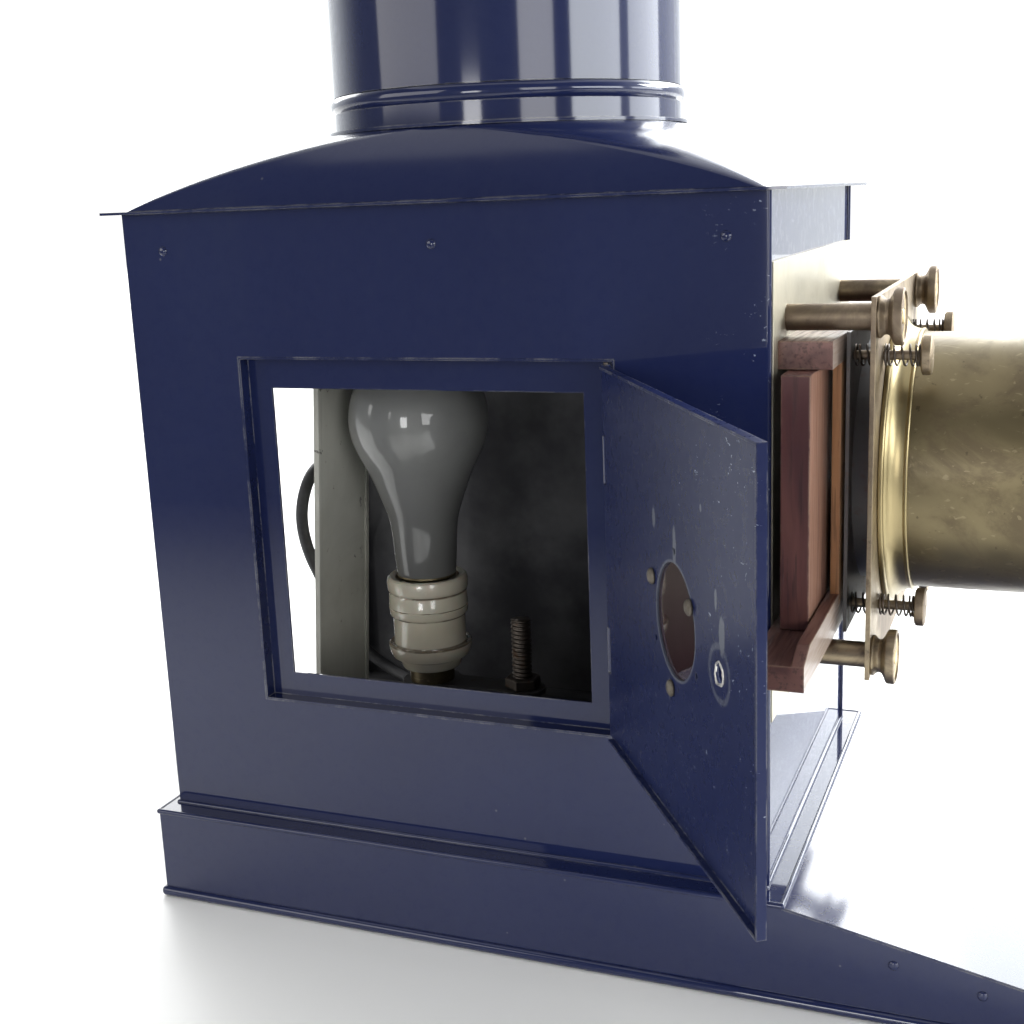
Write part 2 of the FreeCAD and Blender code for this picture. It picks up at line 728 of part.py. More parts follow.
def rack():
    """Toothed strip along the top of the draw tube, with a gap under the pinion."""
    pitch = math.pi * GEAR_MODULE
    root, tip = RACK_PITCH_Z - 1.05, RACK_PITCH_Z + 0.7
    strip = block(264, 318, -3, 3, AXIS_Z + DRAW_BORE + 0.4, root)
    teeth = [strip]
    first = math.ceil((265.5 - PINION_X) / pitch - 0.5)
    last = math.floor((316.5 - PINION_X) / pitch - 0.5)
    for i in range(first, last + 1):
        x = PINION_X + (i + 0.5) * pitch
        outline = [(x - 0.95, root - 0.1), (x + 0.95, root - 0.1), (x + 0.3, tip), (x - 0.3, tip)]
        teeth.append(prism_y(outline, -3, 3))
    return fuse(teeth)


def draw_tube():
    x0, x1 = DRAW_X
    tube = rod(DRAW_R, on_axis(x0), X_AXIS, x1 - x0)
    head = rod(39.0, on_axis(x1 - 12), X_AXIS, 12)
    body = fuse([tube, head, rack()])
    return body.cut(rod(DRAW_BORE, on_axis(x0 - 5), X_AXIS, 110))


def biconvex(x, radius, edge, bulge):
    half = plano_convex(x, 1, radius, edge / 2, bulge)
    other = plano_convex(x, -1, radius, edge / 2, bulge)
    return half.fuse(other).removeSplitter()


def objective_lenses():
    return group([biconvex(259, DRAW_BORE, 4, 3), biconvex(330, DRAW_BORE, 4, 5)])


def focus_pinion():
    tooth_r = PINION_PITCH_R + 0.7
    root_r = PINION_PITCH_R - 1.15
    gear = rod(root_r, V(0, -2.9, 0), Y_AXIS, 5.8)
    parts = [gear]
    for i in range(PINION_TEETH):
        tooth = prism_y([(-0.8, root_r - 0.6), (0.8, root_r - 0.6), (0.28, tooth_r), (-0.28, tooth_r)],
                        -2.9, 2.9)
        tooth.rotate(V(0, 0, 0), Y_AXIS, 180 + 360 * i / PINION_TEETH)
        parts.append(tooth)
    parts.append(rod(SHAFT_R, V(0, -30, 0), Y_AXIS, 60))
    for y in (-31, 21):
        knob = rod(11.0, V(0, y, 0), Y_AXIS, 10)
        parts.append(knob)
        parts.append(rod(5.0, V(0, y + (10 if y < 0 else -4), 0), Y_AXIS, 4))
    pinion = fuse(parts)
    pinion.translate(V(PINION_X, 0, PINION_Z))
    return pinion


# ---- lamp ----

def floor_runners():
    runners = []
    for side in (-1, 1):
        y0, y1 = sorted((side * (TRAY_HALF + 0.5), side * (TRAY_HALF + 4.5)))
        runners.append(block(-147, 60, y0, y1, BASE_H, BASE_H + 6))
    return group(runners)


def lamp_tray():
    x0, x1 = TRAY_X
    plate = block(x0, x1, -TRAY_HALF, TRAY_HALF, TRAY_Z, TRAY_Z + TRAY_SHEET)
    lips = [block(x0, x1, y, y + TRAY_SHEET, TRAY_Z, TRAY_Z + TRAY_LIP)
            for y in (-TRAY_HALF, TRAY_HALF - TRAY_SHEET)]
    return fuse([plate] + lips)


def reflector_plate():
    z0 = TRAY_Z + TRAY_SHEET
    plate = block(-0.5, 0.5, -REFLECTOR_HALF, REFLECTOR_HALF, 0, 215)
    hems = [block(-1.5, 1.5, y, y + 3, 0, 215) for y in (-REFLECTOR_HALF, REFLECTOR_HALF - 3)]
    plate = fuse([plate] + hems)
    plate.rotate(V(0, 0, 0), Y_AXIS, REFLECTOR_TILT)
    plate.translate(V(REFLECTOR_X - 9, 0, z0))
    foot = block(REFLECTOR_X - 22, REFLECTOR_X - 8, -REFLECTOR_HALF, REFLECTOR_HALF, z0, z0 + 1)
    plate = plate.fuse(foot)
    return plate.cut(block(-200, 0, -60, 60, z0 - 20, z0)).removeSplitter()


def hexagon(radius, x, z, height):
    points = [V(x + radius * math.cos(math.radians(60 * i)), radius * math.sin(math.radians(60 * i)), z)
              for i in range(6)]
    return Part.Face(Part.makePolygon(points + [points[0]])).extrude(V(0, 0, height))


def lamp_screw():
    z0 = TRAY_Z + TRAY_SHEET
    screw = rod(SCREW_ROD_R, V(SCREW_ROD_X, 0, z0), Z_AXIS, 76)
    foot = rod(12, V(SCREW_ROD_X, 0, z0), Z_AXIS, 4)
    nuts = [hexagon(9.5, SCREW_ROD_X, z, 6) for z in (ARM_Z[0] - 6, ARM_Z[1])]
    return fuse([screw, foot] + nuts)


def bracket_arm():
    arm = block(LAMP_X, SCREW_ROD_X, -9, 9, ARM_Z[0], ARM_Z[1])
    ends = [rod(16, V(LAMP_X, 0, ARM_Z[0]), Z_AXIS, 3), rod(12, V(SCREW_ROD_X, 0, ARM_Z[0]), Z_AXIS, 3)]
    arm = fuse([arm] + ends)
    arm = arm.cut(rod(SCREW_ROD_R, V(SCREW_ROD_X, 0, 60), Z_AXIS, 60))
    return arm.cut(rod(8.0, V(LAMP_X, 0, 60), Z_AXIS, 60))


def holder_cap():
    """Brass cap and nipple under the porcelain holder, with the cord's side entry."""
    return lathe_z([(0, 60), (11, 60), (11, 80), (8, 84), (8, ARM_Z[1]), (12, ARM_Z[1]), (12, HOLDER_FOOT),
                    (0, HOLDER_FOOT)], LAMP_X)


def lamp_holder():
    outline = [
        (0, HOLDER_FOOT), (16.5, HOLDER_FOOT), (17.2, 101), (22.7, 102), (22.7, 109), (19.6, 110.5),
        (19.6, 125), (21.2, 126.5), (21.4, 137.5), (20.6, 138.5), (21.8, 139.5), (21.8, 144.5),
        (20.6, HOLDER_TOP), (16.8, HOLDER_TOP), (16.8, 120), (0, 120),
    ]
    return lathe_z(outline, LAMP_X)


def lamp_bulb():
    cap = rod(13.2, V(LAMP_X, 0, 120), Z_AXIS, 26)
    curve = Part.BSplineCurve()
    profile = [(15.6, 146), (16.6, 157), (17.8, 173), (20.6, 184), (26.4, 200), (32.6, 212.5), (36.8, 229),
               (33.4, 246), (20.5, 258.5), (0, 263)]
    curve.interpolate([V(LAMP_X + r, 0, z) for r, z in profile])
    first, low, high = [V(LAMP_X + r, 0, z) for r, z in (profile[0], (0, 146), profile[-1])]
    edges = [curve.toShape(), Part.LineSegment(high, low).toShape(), Part.LineSegment(low, first).toShape()]
    return spin(edges, V(LAMP_X, 0, 0), Z_AXIS).fuse(cap)


# ---- cord ----

def cord_arc_edges(route, label):
    """Straight runs joined by tangent arcs; prints the arc radii."""
    edges = []
    here = route[0]
    radii = []
    for before, corner, after in zip(route, route[1:], route[2:]):
        inward, outward = corner - before, after - corner
        turn = inward.getAngle(outward)
        setback = 0.45 * min(inward.Length, outward.Length)
        radius = setback / math.tan(turn / 2)
        radii.append(round(radius, 1))
        u, w = V(inward).normalize(), V(outward).normalize()
        start, end = corner - u * setback, corner + w * setback
        bisector = V(w - u).normalize()
        centre = corner + bisector * math.hypot(radius, setback)
        middle = centre - bisector * radius
        edges.append(Part.LineSegment(here, start).toShape())
        edges.append(Part.Arc(start, middle, end).toShape())
        here = end
    edges.append(Part.LineSegment(here, route[-1]).toShape())
    print(label, "arc radii", radii)
    return edges


def cord_tube(route, label):
    path = Part.Wire(cord_arc_edges(route, label))
    circle = Part.makeCircle(CORD_R, route[0], route[1] - route[0])
    tube = path.makePipeShell([Part.Wire(circle)], True, True)
    ratio = tube.Volume / (math.pi * CORD_R ** 2 * path.Length)
    print(label, "length", round(path.Length, 1), "volume over section times length", round(ratio, 4))
    return tube


def lamp_cord():
    return cord_tube(CORD_ROUTE, "lamp_cord")


def cord_tail():
    return cord_tube(TAIL_ROUTE, "cord_tail")


def cord_grip():
    """Tapered rubber sleeve where the cord leaves the lamp holder's cap."""
    axis = GRIP_END - GRIP_START
    grip = Part.makeCone(6.0, CORD_R + 0.9, axis.Length, GRIP_START, axis)
    return grip.cut(holder_cap())


def cord_coil():
    outer, inner = COIL_R + COIL_HALF_WIDTH, COIL_R - COIL_HALF_WIDTH
    c = 2.5
    outline = [(inner, c), (inner + c, 0.1), (outer - c, 0.1), (outer, c), (outer, COIL_HEIGHT - c),
               (outer - c, COIL_HEIGHT), (inner + c, COIL_HEIGHT), (inner, COIL_HEIGHT - c)]
    return lathe_z(outline, COIL_X, COIL_Y)


def cord_tie():
    """Band round the coil's bundle, on its +Y side."""
    near, far = COIL_R - COIL_HALF_WIDTH, COIL_R + COIL_HALF_WIDTH
    outer = block(near - 1.2, far + 1.2, -4, 4, 0.0, COIL_HEIGHT + 1.2)
    inner = block(near, far, -5, 5, 0.1, COIL_HEIGHT)
    band = outer.cut(inner)
    band.rotate(V(0, 0, 0), Z_AXIS, 90)
    band.translate(V(COIL_X, COIL_Y, 0))
    return band.cut(cord_coil())


def mains_plug():
    """Round two-pin plug lying on its side, pins towards +Y."""
    z = PLUG_R + 0.2
    start = V(PLUG_X, PLUG_Y, z)
    body = Part.makeCone(7.0, PLUG_R, 10, start, Y_AXIS)
    body = body.fuse(rod(PLUG_R, start + V(0, 10, 0), Y_AXIS, PLUG_LENGTH - 10))
    pins = [rod(2.4, V(PLUG_X + x, PLUG_Y + PLUG_LENGTH, z), Y_AXIS, 19) for x in (-9.5, 9.5)]
    return fuse([body] + pins)


PARTS = [
    base_tray, floor_plate, front_deck, rim_bead, foot_bead, body_rivets,
    near_wall, far_wall, front_wall, back_wall, door_frame, eaves_flange, roof_dome, chimney_collar,
    hinge_leaf, hinge_pin, door_panel, window_bezel, window_glass, window_screws,
    chimney_pipe, chimney_cowl, cowl_struts,
    stage_plate, pillars, front_plate, thumb_nuts, top_rail, bottom_rail, aperture_board,
    carrier_frame, glass_slides, pressure_plate, spring_screws, inner_springs, outer_springs,
    condenser_barrel, condenser_lenses, condenser_rings,
    bell_flange, lens_tube, lens_tube_cap, objective_jacket, draw_tube, objective_lenses, focus_pinion,
    floor_runners, lamp_tray, reflector_plate, lamp_screw, bracket_arm, holder_cap, lamp_holder, lamp_bulb,
    cord_grip, lamp_cord, cord_coil, cord_tail, cord_tie, mains_plug,
]

os.makedirs("parts", exist_ok=True)
for make in PARTS:
    shape = make()
    solids = shape.Solids
    print(make.__name__, "solids", len(solids), "valid", shape.isValid(), "volume", round(shape.Volume, 1))
    shape.exportStep("parts/" + make.__name__ + ".step")
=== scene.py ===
import json
import math

import bpy
from mathutils import Matrix, Vector


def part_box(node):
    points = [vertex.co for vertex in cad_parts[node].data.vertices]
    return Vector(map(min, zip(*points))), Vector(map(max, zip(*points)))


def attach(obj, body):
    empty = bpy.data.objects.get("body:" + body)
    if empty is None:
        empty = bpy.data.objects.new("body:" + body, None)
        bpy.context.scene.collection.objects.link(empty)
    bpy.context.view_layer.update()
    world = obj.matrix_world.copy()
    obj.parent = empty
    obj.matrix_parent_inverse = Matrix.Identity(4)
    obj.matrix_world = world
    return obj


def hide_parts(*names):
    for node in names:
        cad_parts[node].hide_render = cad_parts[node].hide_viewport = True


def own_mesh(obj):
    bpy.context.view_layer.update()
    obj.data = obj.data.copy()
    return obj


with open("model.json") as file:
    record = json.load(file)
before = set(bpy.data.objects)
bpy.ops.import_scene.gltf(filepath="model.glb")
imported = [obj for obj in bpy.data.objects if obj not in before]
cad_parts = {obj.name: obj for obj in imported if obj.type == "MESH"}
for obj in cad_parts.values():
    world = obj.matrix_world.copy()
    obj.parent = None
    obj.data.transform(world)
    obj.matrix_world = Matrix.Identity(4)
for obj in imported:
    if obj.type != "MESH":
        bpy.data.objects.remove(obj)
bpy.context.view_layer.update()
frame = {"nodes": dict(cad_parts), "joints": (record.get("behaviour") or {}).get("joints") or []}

# Looks of a blue sheet-metal magic lantern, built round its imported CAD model. Metres, Z up.
JOINTS = {joint["name"]: joint for joint in frame["joints"]}
MM = 0.001
X_AXIS = Vector((1, 0, 0))
Y_AXIS = Vector((0, 1, 0))
Z_AXIS = Vector((0, 0, 1))


def middle(node):
    low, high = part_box(node)
    return (low + high) / 2


AXIS = middle("lens_tube")
HINGE = Vector(JOINTS["door_hinge"]["pos_m"])
DOOR_OPEN = -math.radians(JOINTS["door_hinge"]["range_deg"][0])
BODY_LOW, BODY_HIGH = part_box("far_wall")
BODY_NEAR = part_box("near_wall")[0].y


# ---- materials ----

class Look:
    """A node material. Each method adds nodes and returns the socket to use next."""

    def __init__(self, name, **settings):
        self.material = bpy.data.materials.new(name)
        self.material.use_nodes = True
        self.tree = self.material.node_tree
        self.shader = self.tree.nodes["Principled BSDF"]
        self.point = self.add("ShaderNodeTexCoord").outputs["Object"]
        self.normal = None
        for key, value in settings.items():
            self.shader.inputs[key.replace("_", " ")].default_value = value

    def add(self, kind, **inputs):
        node = self.tree.nodes.new(kind)
        for key, value in inputs.items():
            self.feed(node.inputs[key.replace("_", " ")], value)
        return node

    def feed(self, socket, value):
        if isinstance(value, bpy.types.NodeSocket):
            self.tree.links.new(value, socket)
        elif isinstance(value, (tuple, list)) and len(value) == 3 and len(socket.default_value) == 4:
            socket.default_value = (*value, 1)
        else:
            socket.default_value = value

    def drive(self, name, value):
        self.feed(self.shader.inputs[name], value)

    def stretched(self, stretch, turn=0.0, origin=(0, 0, 0)):
        """The point turned about origin and scaled, for noise that is longer one way."""
        moved = self.add("ShaderNodeVectorMath", Vector=self.point).outputs[0]
        moved.node.operation = "SUBTRACT"
        moved.node.inputs[1].default_value = origin
        turned = self.add("ShaderNodeMapping", Vector=moved, Rotation=(0, 0, turn)).outputs[0]
        return self.add("ShaderNodeMapping", Vector=turned, Scale=stretch).outputs[0]

    def noise(self, scale, detail=3.0, roughness=0.55, distortion=0.0, point=None):
        node = self.add("ShaderNodeTexNoise", Vector=point or self.point, Scale=scale, Detail=detail,
                        Roughness=roughness, Distortion=distortion)
        return node.outputs["Fac"]

    def cells(self, scale):
        return self.add("ShaderNodeTexVoronoi", Vector=self.point, Scale=scale).outputs["Distance"]

    def span(self, value, low, high):
        """0 at low, 1 at high, clamped and eased between."""
        node = self.add("ShaderNodeMapRange")
        node.interpolation_type = "SMOOTHSTEP"
        for socket, amount in zip(node.inputs, (value, low, high, 0.0, 1.0)):
            self.feed(socket, amount)
        return node.outputs["Result"]

    def calc(self, operation, a, b=0.0):
        """The result of a Math node."""
        node = self.add("ShaderNodeMath")
        node.operation = operation
        self.feed(node.inputs[0], a)
        self.feed(node.inputs[1], b)
        return node.outputs[0]

    def mix(self, factor, a, b):
        node = self.add("ShaderNodeMix")
        node.data_type = "RGBA"
        for index, value in ((0, factor), (6, a), (7, b)):
            self.feed(node.inputs[index], value)
        return node.outputs[2]

    def axis(self, letter, point=None):
        return self.add("ShaderNodeSeparateXYZ", Vector=point or self.point).outputs[letter]

    def near_point(self, point, place):
        """Distance between a point and a fixed place."""
        node = self.add("ShaderNodeVectorMath", Vector=point)
        node.operation = "DISTANCE"
        node.inputs[1].default_value = place
        return node.outputs["Value"]

    def rounded(self, radius):
        """Softens hard edges, and returns how near to an edge the point is, 0 to 1."""
        bevel = self.add("ShaderNodeBevel", Radius=radius)
        bevel.samples = 4
        self.normal = bevel.outputs[0]
        dot = self.add("ShaderNodeVectorMath", Vector=self.normal)
        dot.operation = "DOT_PRODUCT"
        self.tree.links.new(self.add("ShaderNodeNewGeometry").outputs["Normal"], dot.inputs[1])
        return self.span(dot.outputs["Value"], 0.995, 0.86)

    def bump(self, height, distance, strength=1.0):
        node = self.add("ShaderNodeBump", Height=height, Distance=distance, Strength=strength)
        if self.normal is not None:
            self.feed(node.inputs["Normal"], self.normal)
        self.normal = node.outputs[0]

    def done(self):
        if self.normal is not None:
            self.drive("Normal", self.normal)
        return self.material


def enamel(name, hollow=False, faded=0.0, gloss=0.03, drawn=0.0):
    """Glossy navy stoving enamel: faintly uneven tone, chips, and edges lightened to grey, partly worn metal
    and partly a painted highlight where edges catch the light.

    hollow gives the lamphouse sooty inner faces, faded adds pale dust, gloss is the coat's
    roughness, and drawn is the strength of upright ripples.
    """
    look = Look(name, Coat_Weight=1.0, Coat_Roughness=gloss, IOR=1.5, Specular_IOR_Level=0.02)
    edge = look.rounded(0.9 * MM)
    broad = look.noise(6, 3, 0.5)
    fine = look.noise(190, 4, 0.6)
    streak = look.noise(16, 4, 0.6, 0.4, look.stretched((1, 1, 0.12)))
    tone = look.mix(look.span(broad, 0.3, 0.7), (0.0090, 0.0135, 0.053), (0.0110, 0.0165, 0.061))
    tone = look.mix(look.calc("MULTIPLY", look.span(streak, 0.5, 0.75), 0.25), tone, (0.018, 0.024, 0.062))
    dust = look.calc("MULTIPLY", look.span(fine, 0.52, 0.85), 0.03 + faded)
    tone = look.mix(dust, tone, (0.12, 0.13, 0.16))
    # edges lightened to grey: partly wear to bare metal, partly a painted highlight along the edges
    worn_edge_and_highlight = look.calc("MULTIPLY", edge, look.span(look.noise(45, 5, 0.75), 0.40, 0.6))
    tone = look.mix(look.calc("MULTIPLY", worn_edge_and_highlight, 0.8), tone, (0.22, 0.22, 0.22))
    speck = look.calc("MULTIPLY", look.span(look.cells(70), 0.05, 0.03), look.span(broad, 0.54, 0.6))
    tone = look.mix(look.calc("MULTIPLY", speck, 0.5), tone, (0.14, 0.14, 0.15))
    corner = look.span(look.axis("X"), BODY_HIGH.x - 34 * MM, BODY_HIGH.x - 4 * MM)
    low = look.span(look.axis("Z"), BODY_LOW.z + 25 * MM, BODY_LOW.z + 130 * MM)
    flecks = look.noise(330, 3, 0.7, 0.5, look.stretched((1, 1, 1.6)))
    ragged = look.calc("MULTIPLY", look.span(flecks, 0.655, 0.69), look.span(look.noise(38, 3), 0.5, 0.56))
    chips = look.calc("MULTIPLY", ragged, look.calc("MULTIPLY", corner, low))
    tone = look.mix(look.calc("MULTIPLY", chips, 0.8), tone, (0.34, 0.38, 0.46))
    rough = look.calc("ADD", 0.26, look.calc("MULTIPLY", look.span(fine, 0.35, 0.75), 0.12))
    if hollow:
        inner = inside_mask(look)
        grime = look.span(look.noise(18, 5), 0.35, 0.7)
        soot = look.mix(grime, (0.040, 0.040, 0.045), (0.095, 0.095, 0.10))
        tone = look.mix(inner, tone, soot)
        rough = look.calc("ADD", rough, look.calc("MULTIPLY", inner, 0.4))
        look.drive("Coat Weight", look.calc("SUBTRACT", 1.0, look.calc("MULTIPLY", inner, 0.9)))
    look.drive("Base Color", tone)
    look.drive("Roughness", rough)
    look.bump(look.noise(60, 2, 0.4), 0.12 * MM, 0.10)
    look.bump(look.noise(7, 2), 1.5 * MM, 0.10)
    if drawn:
        look.bump(look.noise(95, 4, 0.6, 0.0, look.stretched((1, 1, 0.05))), 0.35 * MM, drawn)
    return look


def inside_mask(look):
    """1 on the lamphouse's inner faces, 0 outside."""
    half_x = BODY_HIGH.x - 2.2 * MM
    half_y = BODY_HIGH.y - 0.4 * MM
    in_x = look.calc("LESS_THAN", look.calc("ABSOLUTE", look.axis("X")), half_x)
    in_y = look.calc("LESS_THAN", look.calc("ABSOLUTE", look.axis("Y")), half_y)
    deep = look.calc("GREATER_THAN", look.axis("Y"), BODY_NEAR + 8.2 * MM)
    return look.calc("MULTIPLY", look.calc("MULTIPLY", in_x, in_y), deep)


def brass(name, clean, tarnish, cover, rough, scale=1.0, marks=1.0):
    """Old brass: clean metal showing through patches of brown tarnish, with fine scratches."""
    look = Look(name, Metallic=1.0, IOR=1.45)
    edge = look.rounded(0.5 * MM)
    patch = look.noise(22 * scale, 6, 0.68, 0.8)
    cloud = look.noise(6 * scale, 3, 0.5)
    spots = look.noise(120 * scale, 4, 0.7)
    amount = look.calc("ADD", look.calc("MULTIPLY", patch, 0.6), look.calc("MULTIPLY", cloud, 0.4))
    worn = look.span(amount, cover + 0.12, cover - 0.12)
    tone = look.mix(worn, clean, tarnish)
    dark = tuple(0.45 * c for c in tarnish)
    tone = look.mix(look.calc("MULTIPLY", look.span(spots, 0.58, 0.72), 0.55 * marks), tone, dark)
    lines = look.noise(300, 2, 0.4, 0.0, look.stretched((0.05, 1, 1)))
    rough_now = look.calc("ADD", rough, look.calc("MULTIPLY", worn, 0.16))
    rough_now = look.calc("ADD", rough_now, look.calc("MULTIPLY", lines, 0.08))
    tone = look.mix(look.calc("MULTIPLY", edge, 0.5), tone, tuple(min(1, 1.25 * c) for c in clean))
    look.drive("Base Color", tone)
    look.drive("Roughness", rough_now)
    look.bump(lines, 0.05 * MM, 0.25)
    look.bump(patch, 0.2 * MM, 0.2)
    return look.done()


def tube_brass():
    """The lens tube: dull olive brass under old lacquer, with brown blotches and fine scratches."""
    look = Look("tube_brass", Metallic=0.85, Coat_Weight=0.08, Coat_Roughness=0.25)
    look.rounded(0.4 * MM)
    wide = look.stretched((0.6, 1, 1))
    blotch = look.noise(24, 7, 0.68, 1.0, wide)
    cloud = look.noise(9, 4, 0.55, 0.4)
    tone = look.mix(look.span(cloud, 0.35, 0.65), (0.140, 0.110, 0.061), (0.210, 0.170, 0.094))
    tone = look.mix(look.calc("MULTIPLY", look.span(blotch, 0.47, 0.62), 0.55), tone, (0.105, 0.078, 0.050))
    bright = look.span(look.noise(38, 6, 0.72, 1.6, wide), 0.62, 0.70)
    tone = look.mix(look.calc("MULTIPLY", bright, 0.5), tone, (0.33, 0.265, 0.14))
    pits = look.span(look.noise(210, 3, 0.6), 0.66, 0.72)
    tone = look.mix(look.calc("MULTIPLY", pits, 0.5), tone, (0.05, 0.038, 0.025))
    for turn in (0.35, -0.8):
        thin = look.stretched((0.03, 1.0, 1.0), turn, AXIS)
        scratch = look.span(look.noise(420, 2, 0.5, 0.3, thin), 0.68, 0.72)
        tone = look.mix(look.calc("MULTIPLY", scratch, 0.35), tone, (0.36, 0.30, 0.18))
    look.drive("Base Color", tone)
    rough = look.calc("ADD", 0.36, look.calc("MULTIPLY", look.span(blotch, 0.4, 0.65), 0.16))
    look.drive("Roughness", rough)
    look.bump(blotch, 0.08 * MM, 0.2)
    return look.done()


def wood(name, dark, light, wear, bare, grain=(1, 1, 0.06)):
    """Straight-grained wood with pores, a pale tone on faces turned to +X that is partly bare wood and
    partly painted sheen of the light falling from that side, rubbed at the corners.
    """
    look = Look(name, Coat_Weight=0.35, Coat_Roughness=0.2, Specular_IOR_Level=0.4)
    edge = look.rounded(1.2 * MM)
    along = look.stretched(grain)
    bands = look.noise(70, 4, 0.6, 0.8, along)
    pores = look.noise(520, 3, 0.6, 0.0, along)
    cloud = look.noise(12, 3)
    tone = look.mix(look.span(bands, 0.3, 0.7), dark, light)
    pore_tone = tuple(0.4 * c for c in dark)
    cloud_tone = tuple(0.5 * c for c in dark)
    tone = look.mix(look.calc("MULTIPLY", look.span(pores, 0.52, 0.66), 0.6), tone, pore_tone)
    tone = look.mix(look.calc("MULTIPLY", look.span(cloud, 0.5, 0.8), 0.4), tone, cloud_tone)
    # painted sheen: faces turned to +X, where the light falls, take the pale bare tone, which also stands
    # for worn bare wood
    lit_side_facing = look.axis("X", look.add("ShaderNodeNewGeometry").outputs["Normal"])
    front = look.calc("MULTIPLY", look.span(lit_side_facing, 0.5, 0.9), look.span(bands, 0.15, 0.5))
    tone = look.mix(front, tone, bare)
    rub = look.calc("MULTIPLY", edge, look.span(look.noise(60, 5, 0.7), 0.38, 0.55))
    tone = look.mix(look.calc("MULTIPLY", rub, wear), tone, (0.42, 0.27, 0.17))
    look.drive("Base Color", tone)
    look.drive("Roughness", look.calc("ADD", 0.38, look.calc("MULTIPLY", look.span(pores, 0.4, 0.7), 0.25)))
    look.bump(pores, 0.12 * MM, 0.4)
    look.bump(bands, 0.3 * MM, 0.25)
    return look.done()


def plain_metal(name, tone, rough, metallic, spread=0.5, rust=0.0):
    """Dull painted or bare metal with grime and, if asked for, rust."""
    look = Look(name, Metallic=metallic)
    edge = look.rounded(0.5 * MM)
    cloud = look.noise(30, 5, 0.65)
    colour = look.mix(look.span(cloud, 0.3, 0.7), tuple(c * (1 - spread * 0.6) for c in tone), tone)
    fleck = look.span(look.noise(150, 4, 0.7), 0.55, 0.68)
    colour = look.mix(look.calc("MULTIPLY", fleck, rust), colour, (0.16, 0.075, 0.035))
    colour = look.mix(look.calc("MULTIPLY", edge, 0.4), colour, tuple(min(1, c * 1.8 + 0.03) for c in tone))
    look.drive("Base Color", colour)
    look.drive("Roughness", look.calc("ADD", rough, look.calc("MULTIPLY", fleck, 0.2)))
    look.bump(look.noise(240, 4), 0.1 * MM, 0.3)
    return look.done()


def glass(name, tone, rough, body, **settings):
    """Clear or frosted glass over a faint dust film."""
    look = Look(name, Transmission_Weight=body, IOR=1.47, **settings)
    film = look.span(look.noise(90, 5, 0.7), 0.45, 0.8)
    look.drive("Base Color", look.mix(film, tone, tuple(0.8 * c for c in tone)))
    look.drive("Roughness", look.calc("ADD", rough, look.calc("MULTIPLY", film, 0.08)))
    return look.done()


def bulb_glass():
    """Frosted lamp glass with painted shading: darker near the neck and lighter towards the top, as the
    light falls from above.
    """
    low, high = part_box("lamp_bulb")
    look = Look("bulb_glass", Coat_Weight=1.0, Coat_Roughness=0.02, Transmission_Weight=0.35, IOR=1.3,
                Specular_IOR_Level=0.6)
    # painted shading: the glass tone lightens from near the neck to the top
    height = look.span(look.axis("Z"), low.z + 26 * MM, high.z)
    film = look.noise(60, 4, 0.6)
    tone = look.mix(height, (0.20, 0.20, 0.193), (0.35, 0.355, 0.345))
    tone = look.mix(look.calc("MULTIPLY", look.span(film, 0.4, 0.8), 0.25), tone, (0.16, 0.16, 0.155))
    look.drive("Base Color", tone)
    look.drive("Roughness", look.calc("ADD", 0.34, look.calc("MULTIPLY", film, 0.1)))
    return look.done()


def porcelain():
    """Off-white glaze with dark brown lines along the grooves and a few pinholes."""
    look = Look("porcelain", Coat_Weight=1.0, Coat_Roughness=0.04, IOR=1.5, Subsurface_Weight=0.1,
                Subsurface_Scale=2 * MM)
    cloud = look.noise(40, 3)
    tone = look.mix(look.span(cloud, 0.3, 0.7), (0.56, 0.51, 0.39), (0.66, 0.61, 0.49))
    height = look.axis("Z")
    # dark brown lines drawn at the groove heights
    for groove, width in HOLDER_GROOVES:
        gap = look.calc("ABSOLUTE", look.calc("SUBTRACT", height, groove))
        line = look.span(gap, width, width * 0.3)
        patchy = look.calc("MULTIPLY", line, look.span(look.noise(80, 3), 0.3, 0.55))
        tone = look.mix(look.calc("MULTIPLY", patchy, 0.85), tone, (0.12, 0.085, 0.05))
    pin = look.calc("MULTIPLY", look.span(look.cells(55), 0.10, 0.05), look.span(cloud, 0.5, 0.55))
    tone = look.mix(pin, tone, (0.09, 0.06, 0.04))
    look.drive("Base Color", tone)
    look.drive("Roughness", look.calc("ADD", 0.18, look.calc("MULTIPLY", cloud, 0.12)))
    return look.done()


def reflector_paint():
    """Aged grey-green plate: water stains, a wandering crack and rust dots, with a painted highlight along
    its edges.
    """
    look = Look("reflector_paint", Roughness=0.6)
    edge = look.rounded(0.8 * MM)
    cloud = look.noise(14, 6, 0.62, 0.5)
    run = look.noise(20, 5, 0.6, 0.5, look.stretched((1, 1, 0.2)))
    tone = look.mix(look.span(cloud, 0.3, 0.7), (0.56, 0.555, 0.48), (0.68, 0.675, 0.60))
    tone = look.mix(look.calc("MULTIPLY", look.span(run, 0.52, 0.75), 0.35), tone, (0.36, 0.35, 0.28))
    wander = look.noise(9, 6, 0.62, 0.2)
    crack = look.span(look.calc("ABSOLUTE", look.calc("SUBTRACT", wander, 0.5)), 0.0035, 0.001)
    crack = look.calc("MULTIPLY", crack, look.span(look.noise(7, 2), 0.46, 0.54))
    tone = look.mix(look.calc("MULTIPLY", crack, 0.75), tone, (0.07, 0.06, 0.045))
    rust = look.span(look.noise(130, 4, 0.7), 0.66, 0.72)
    tone = look.mix(look.calc("MULTIPLY", rust, 0.7), tone, (0.16, 0.085, 0.04))
    # painted highlight: the plate's edges are lightened where they catch the light
    tone = look.mix(look.calc("MULTIPLY", edge, 0.4), tone, (0.52, 0.52, 0.45))
    look.drive("Base Color", tone)
    look.bump(cloud, 0.3 * MM, 0.2)
    look.bump(crack, -0.2 * MM, 0.5)
    return look.done()


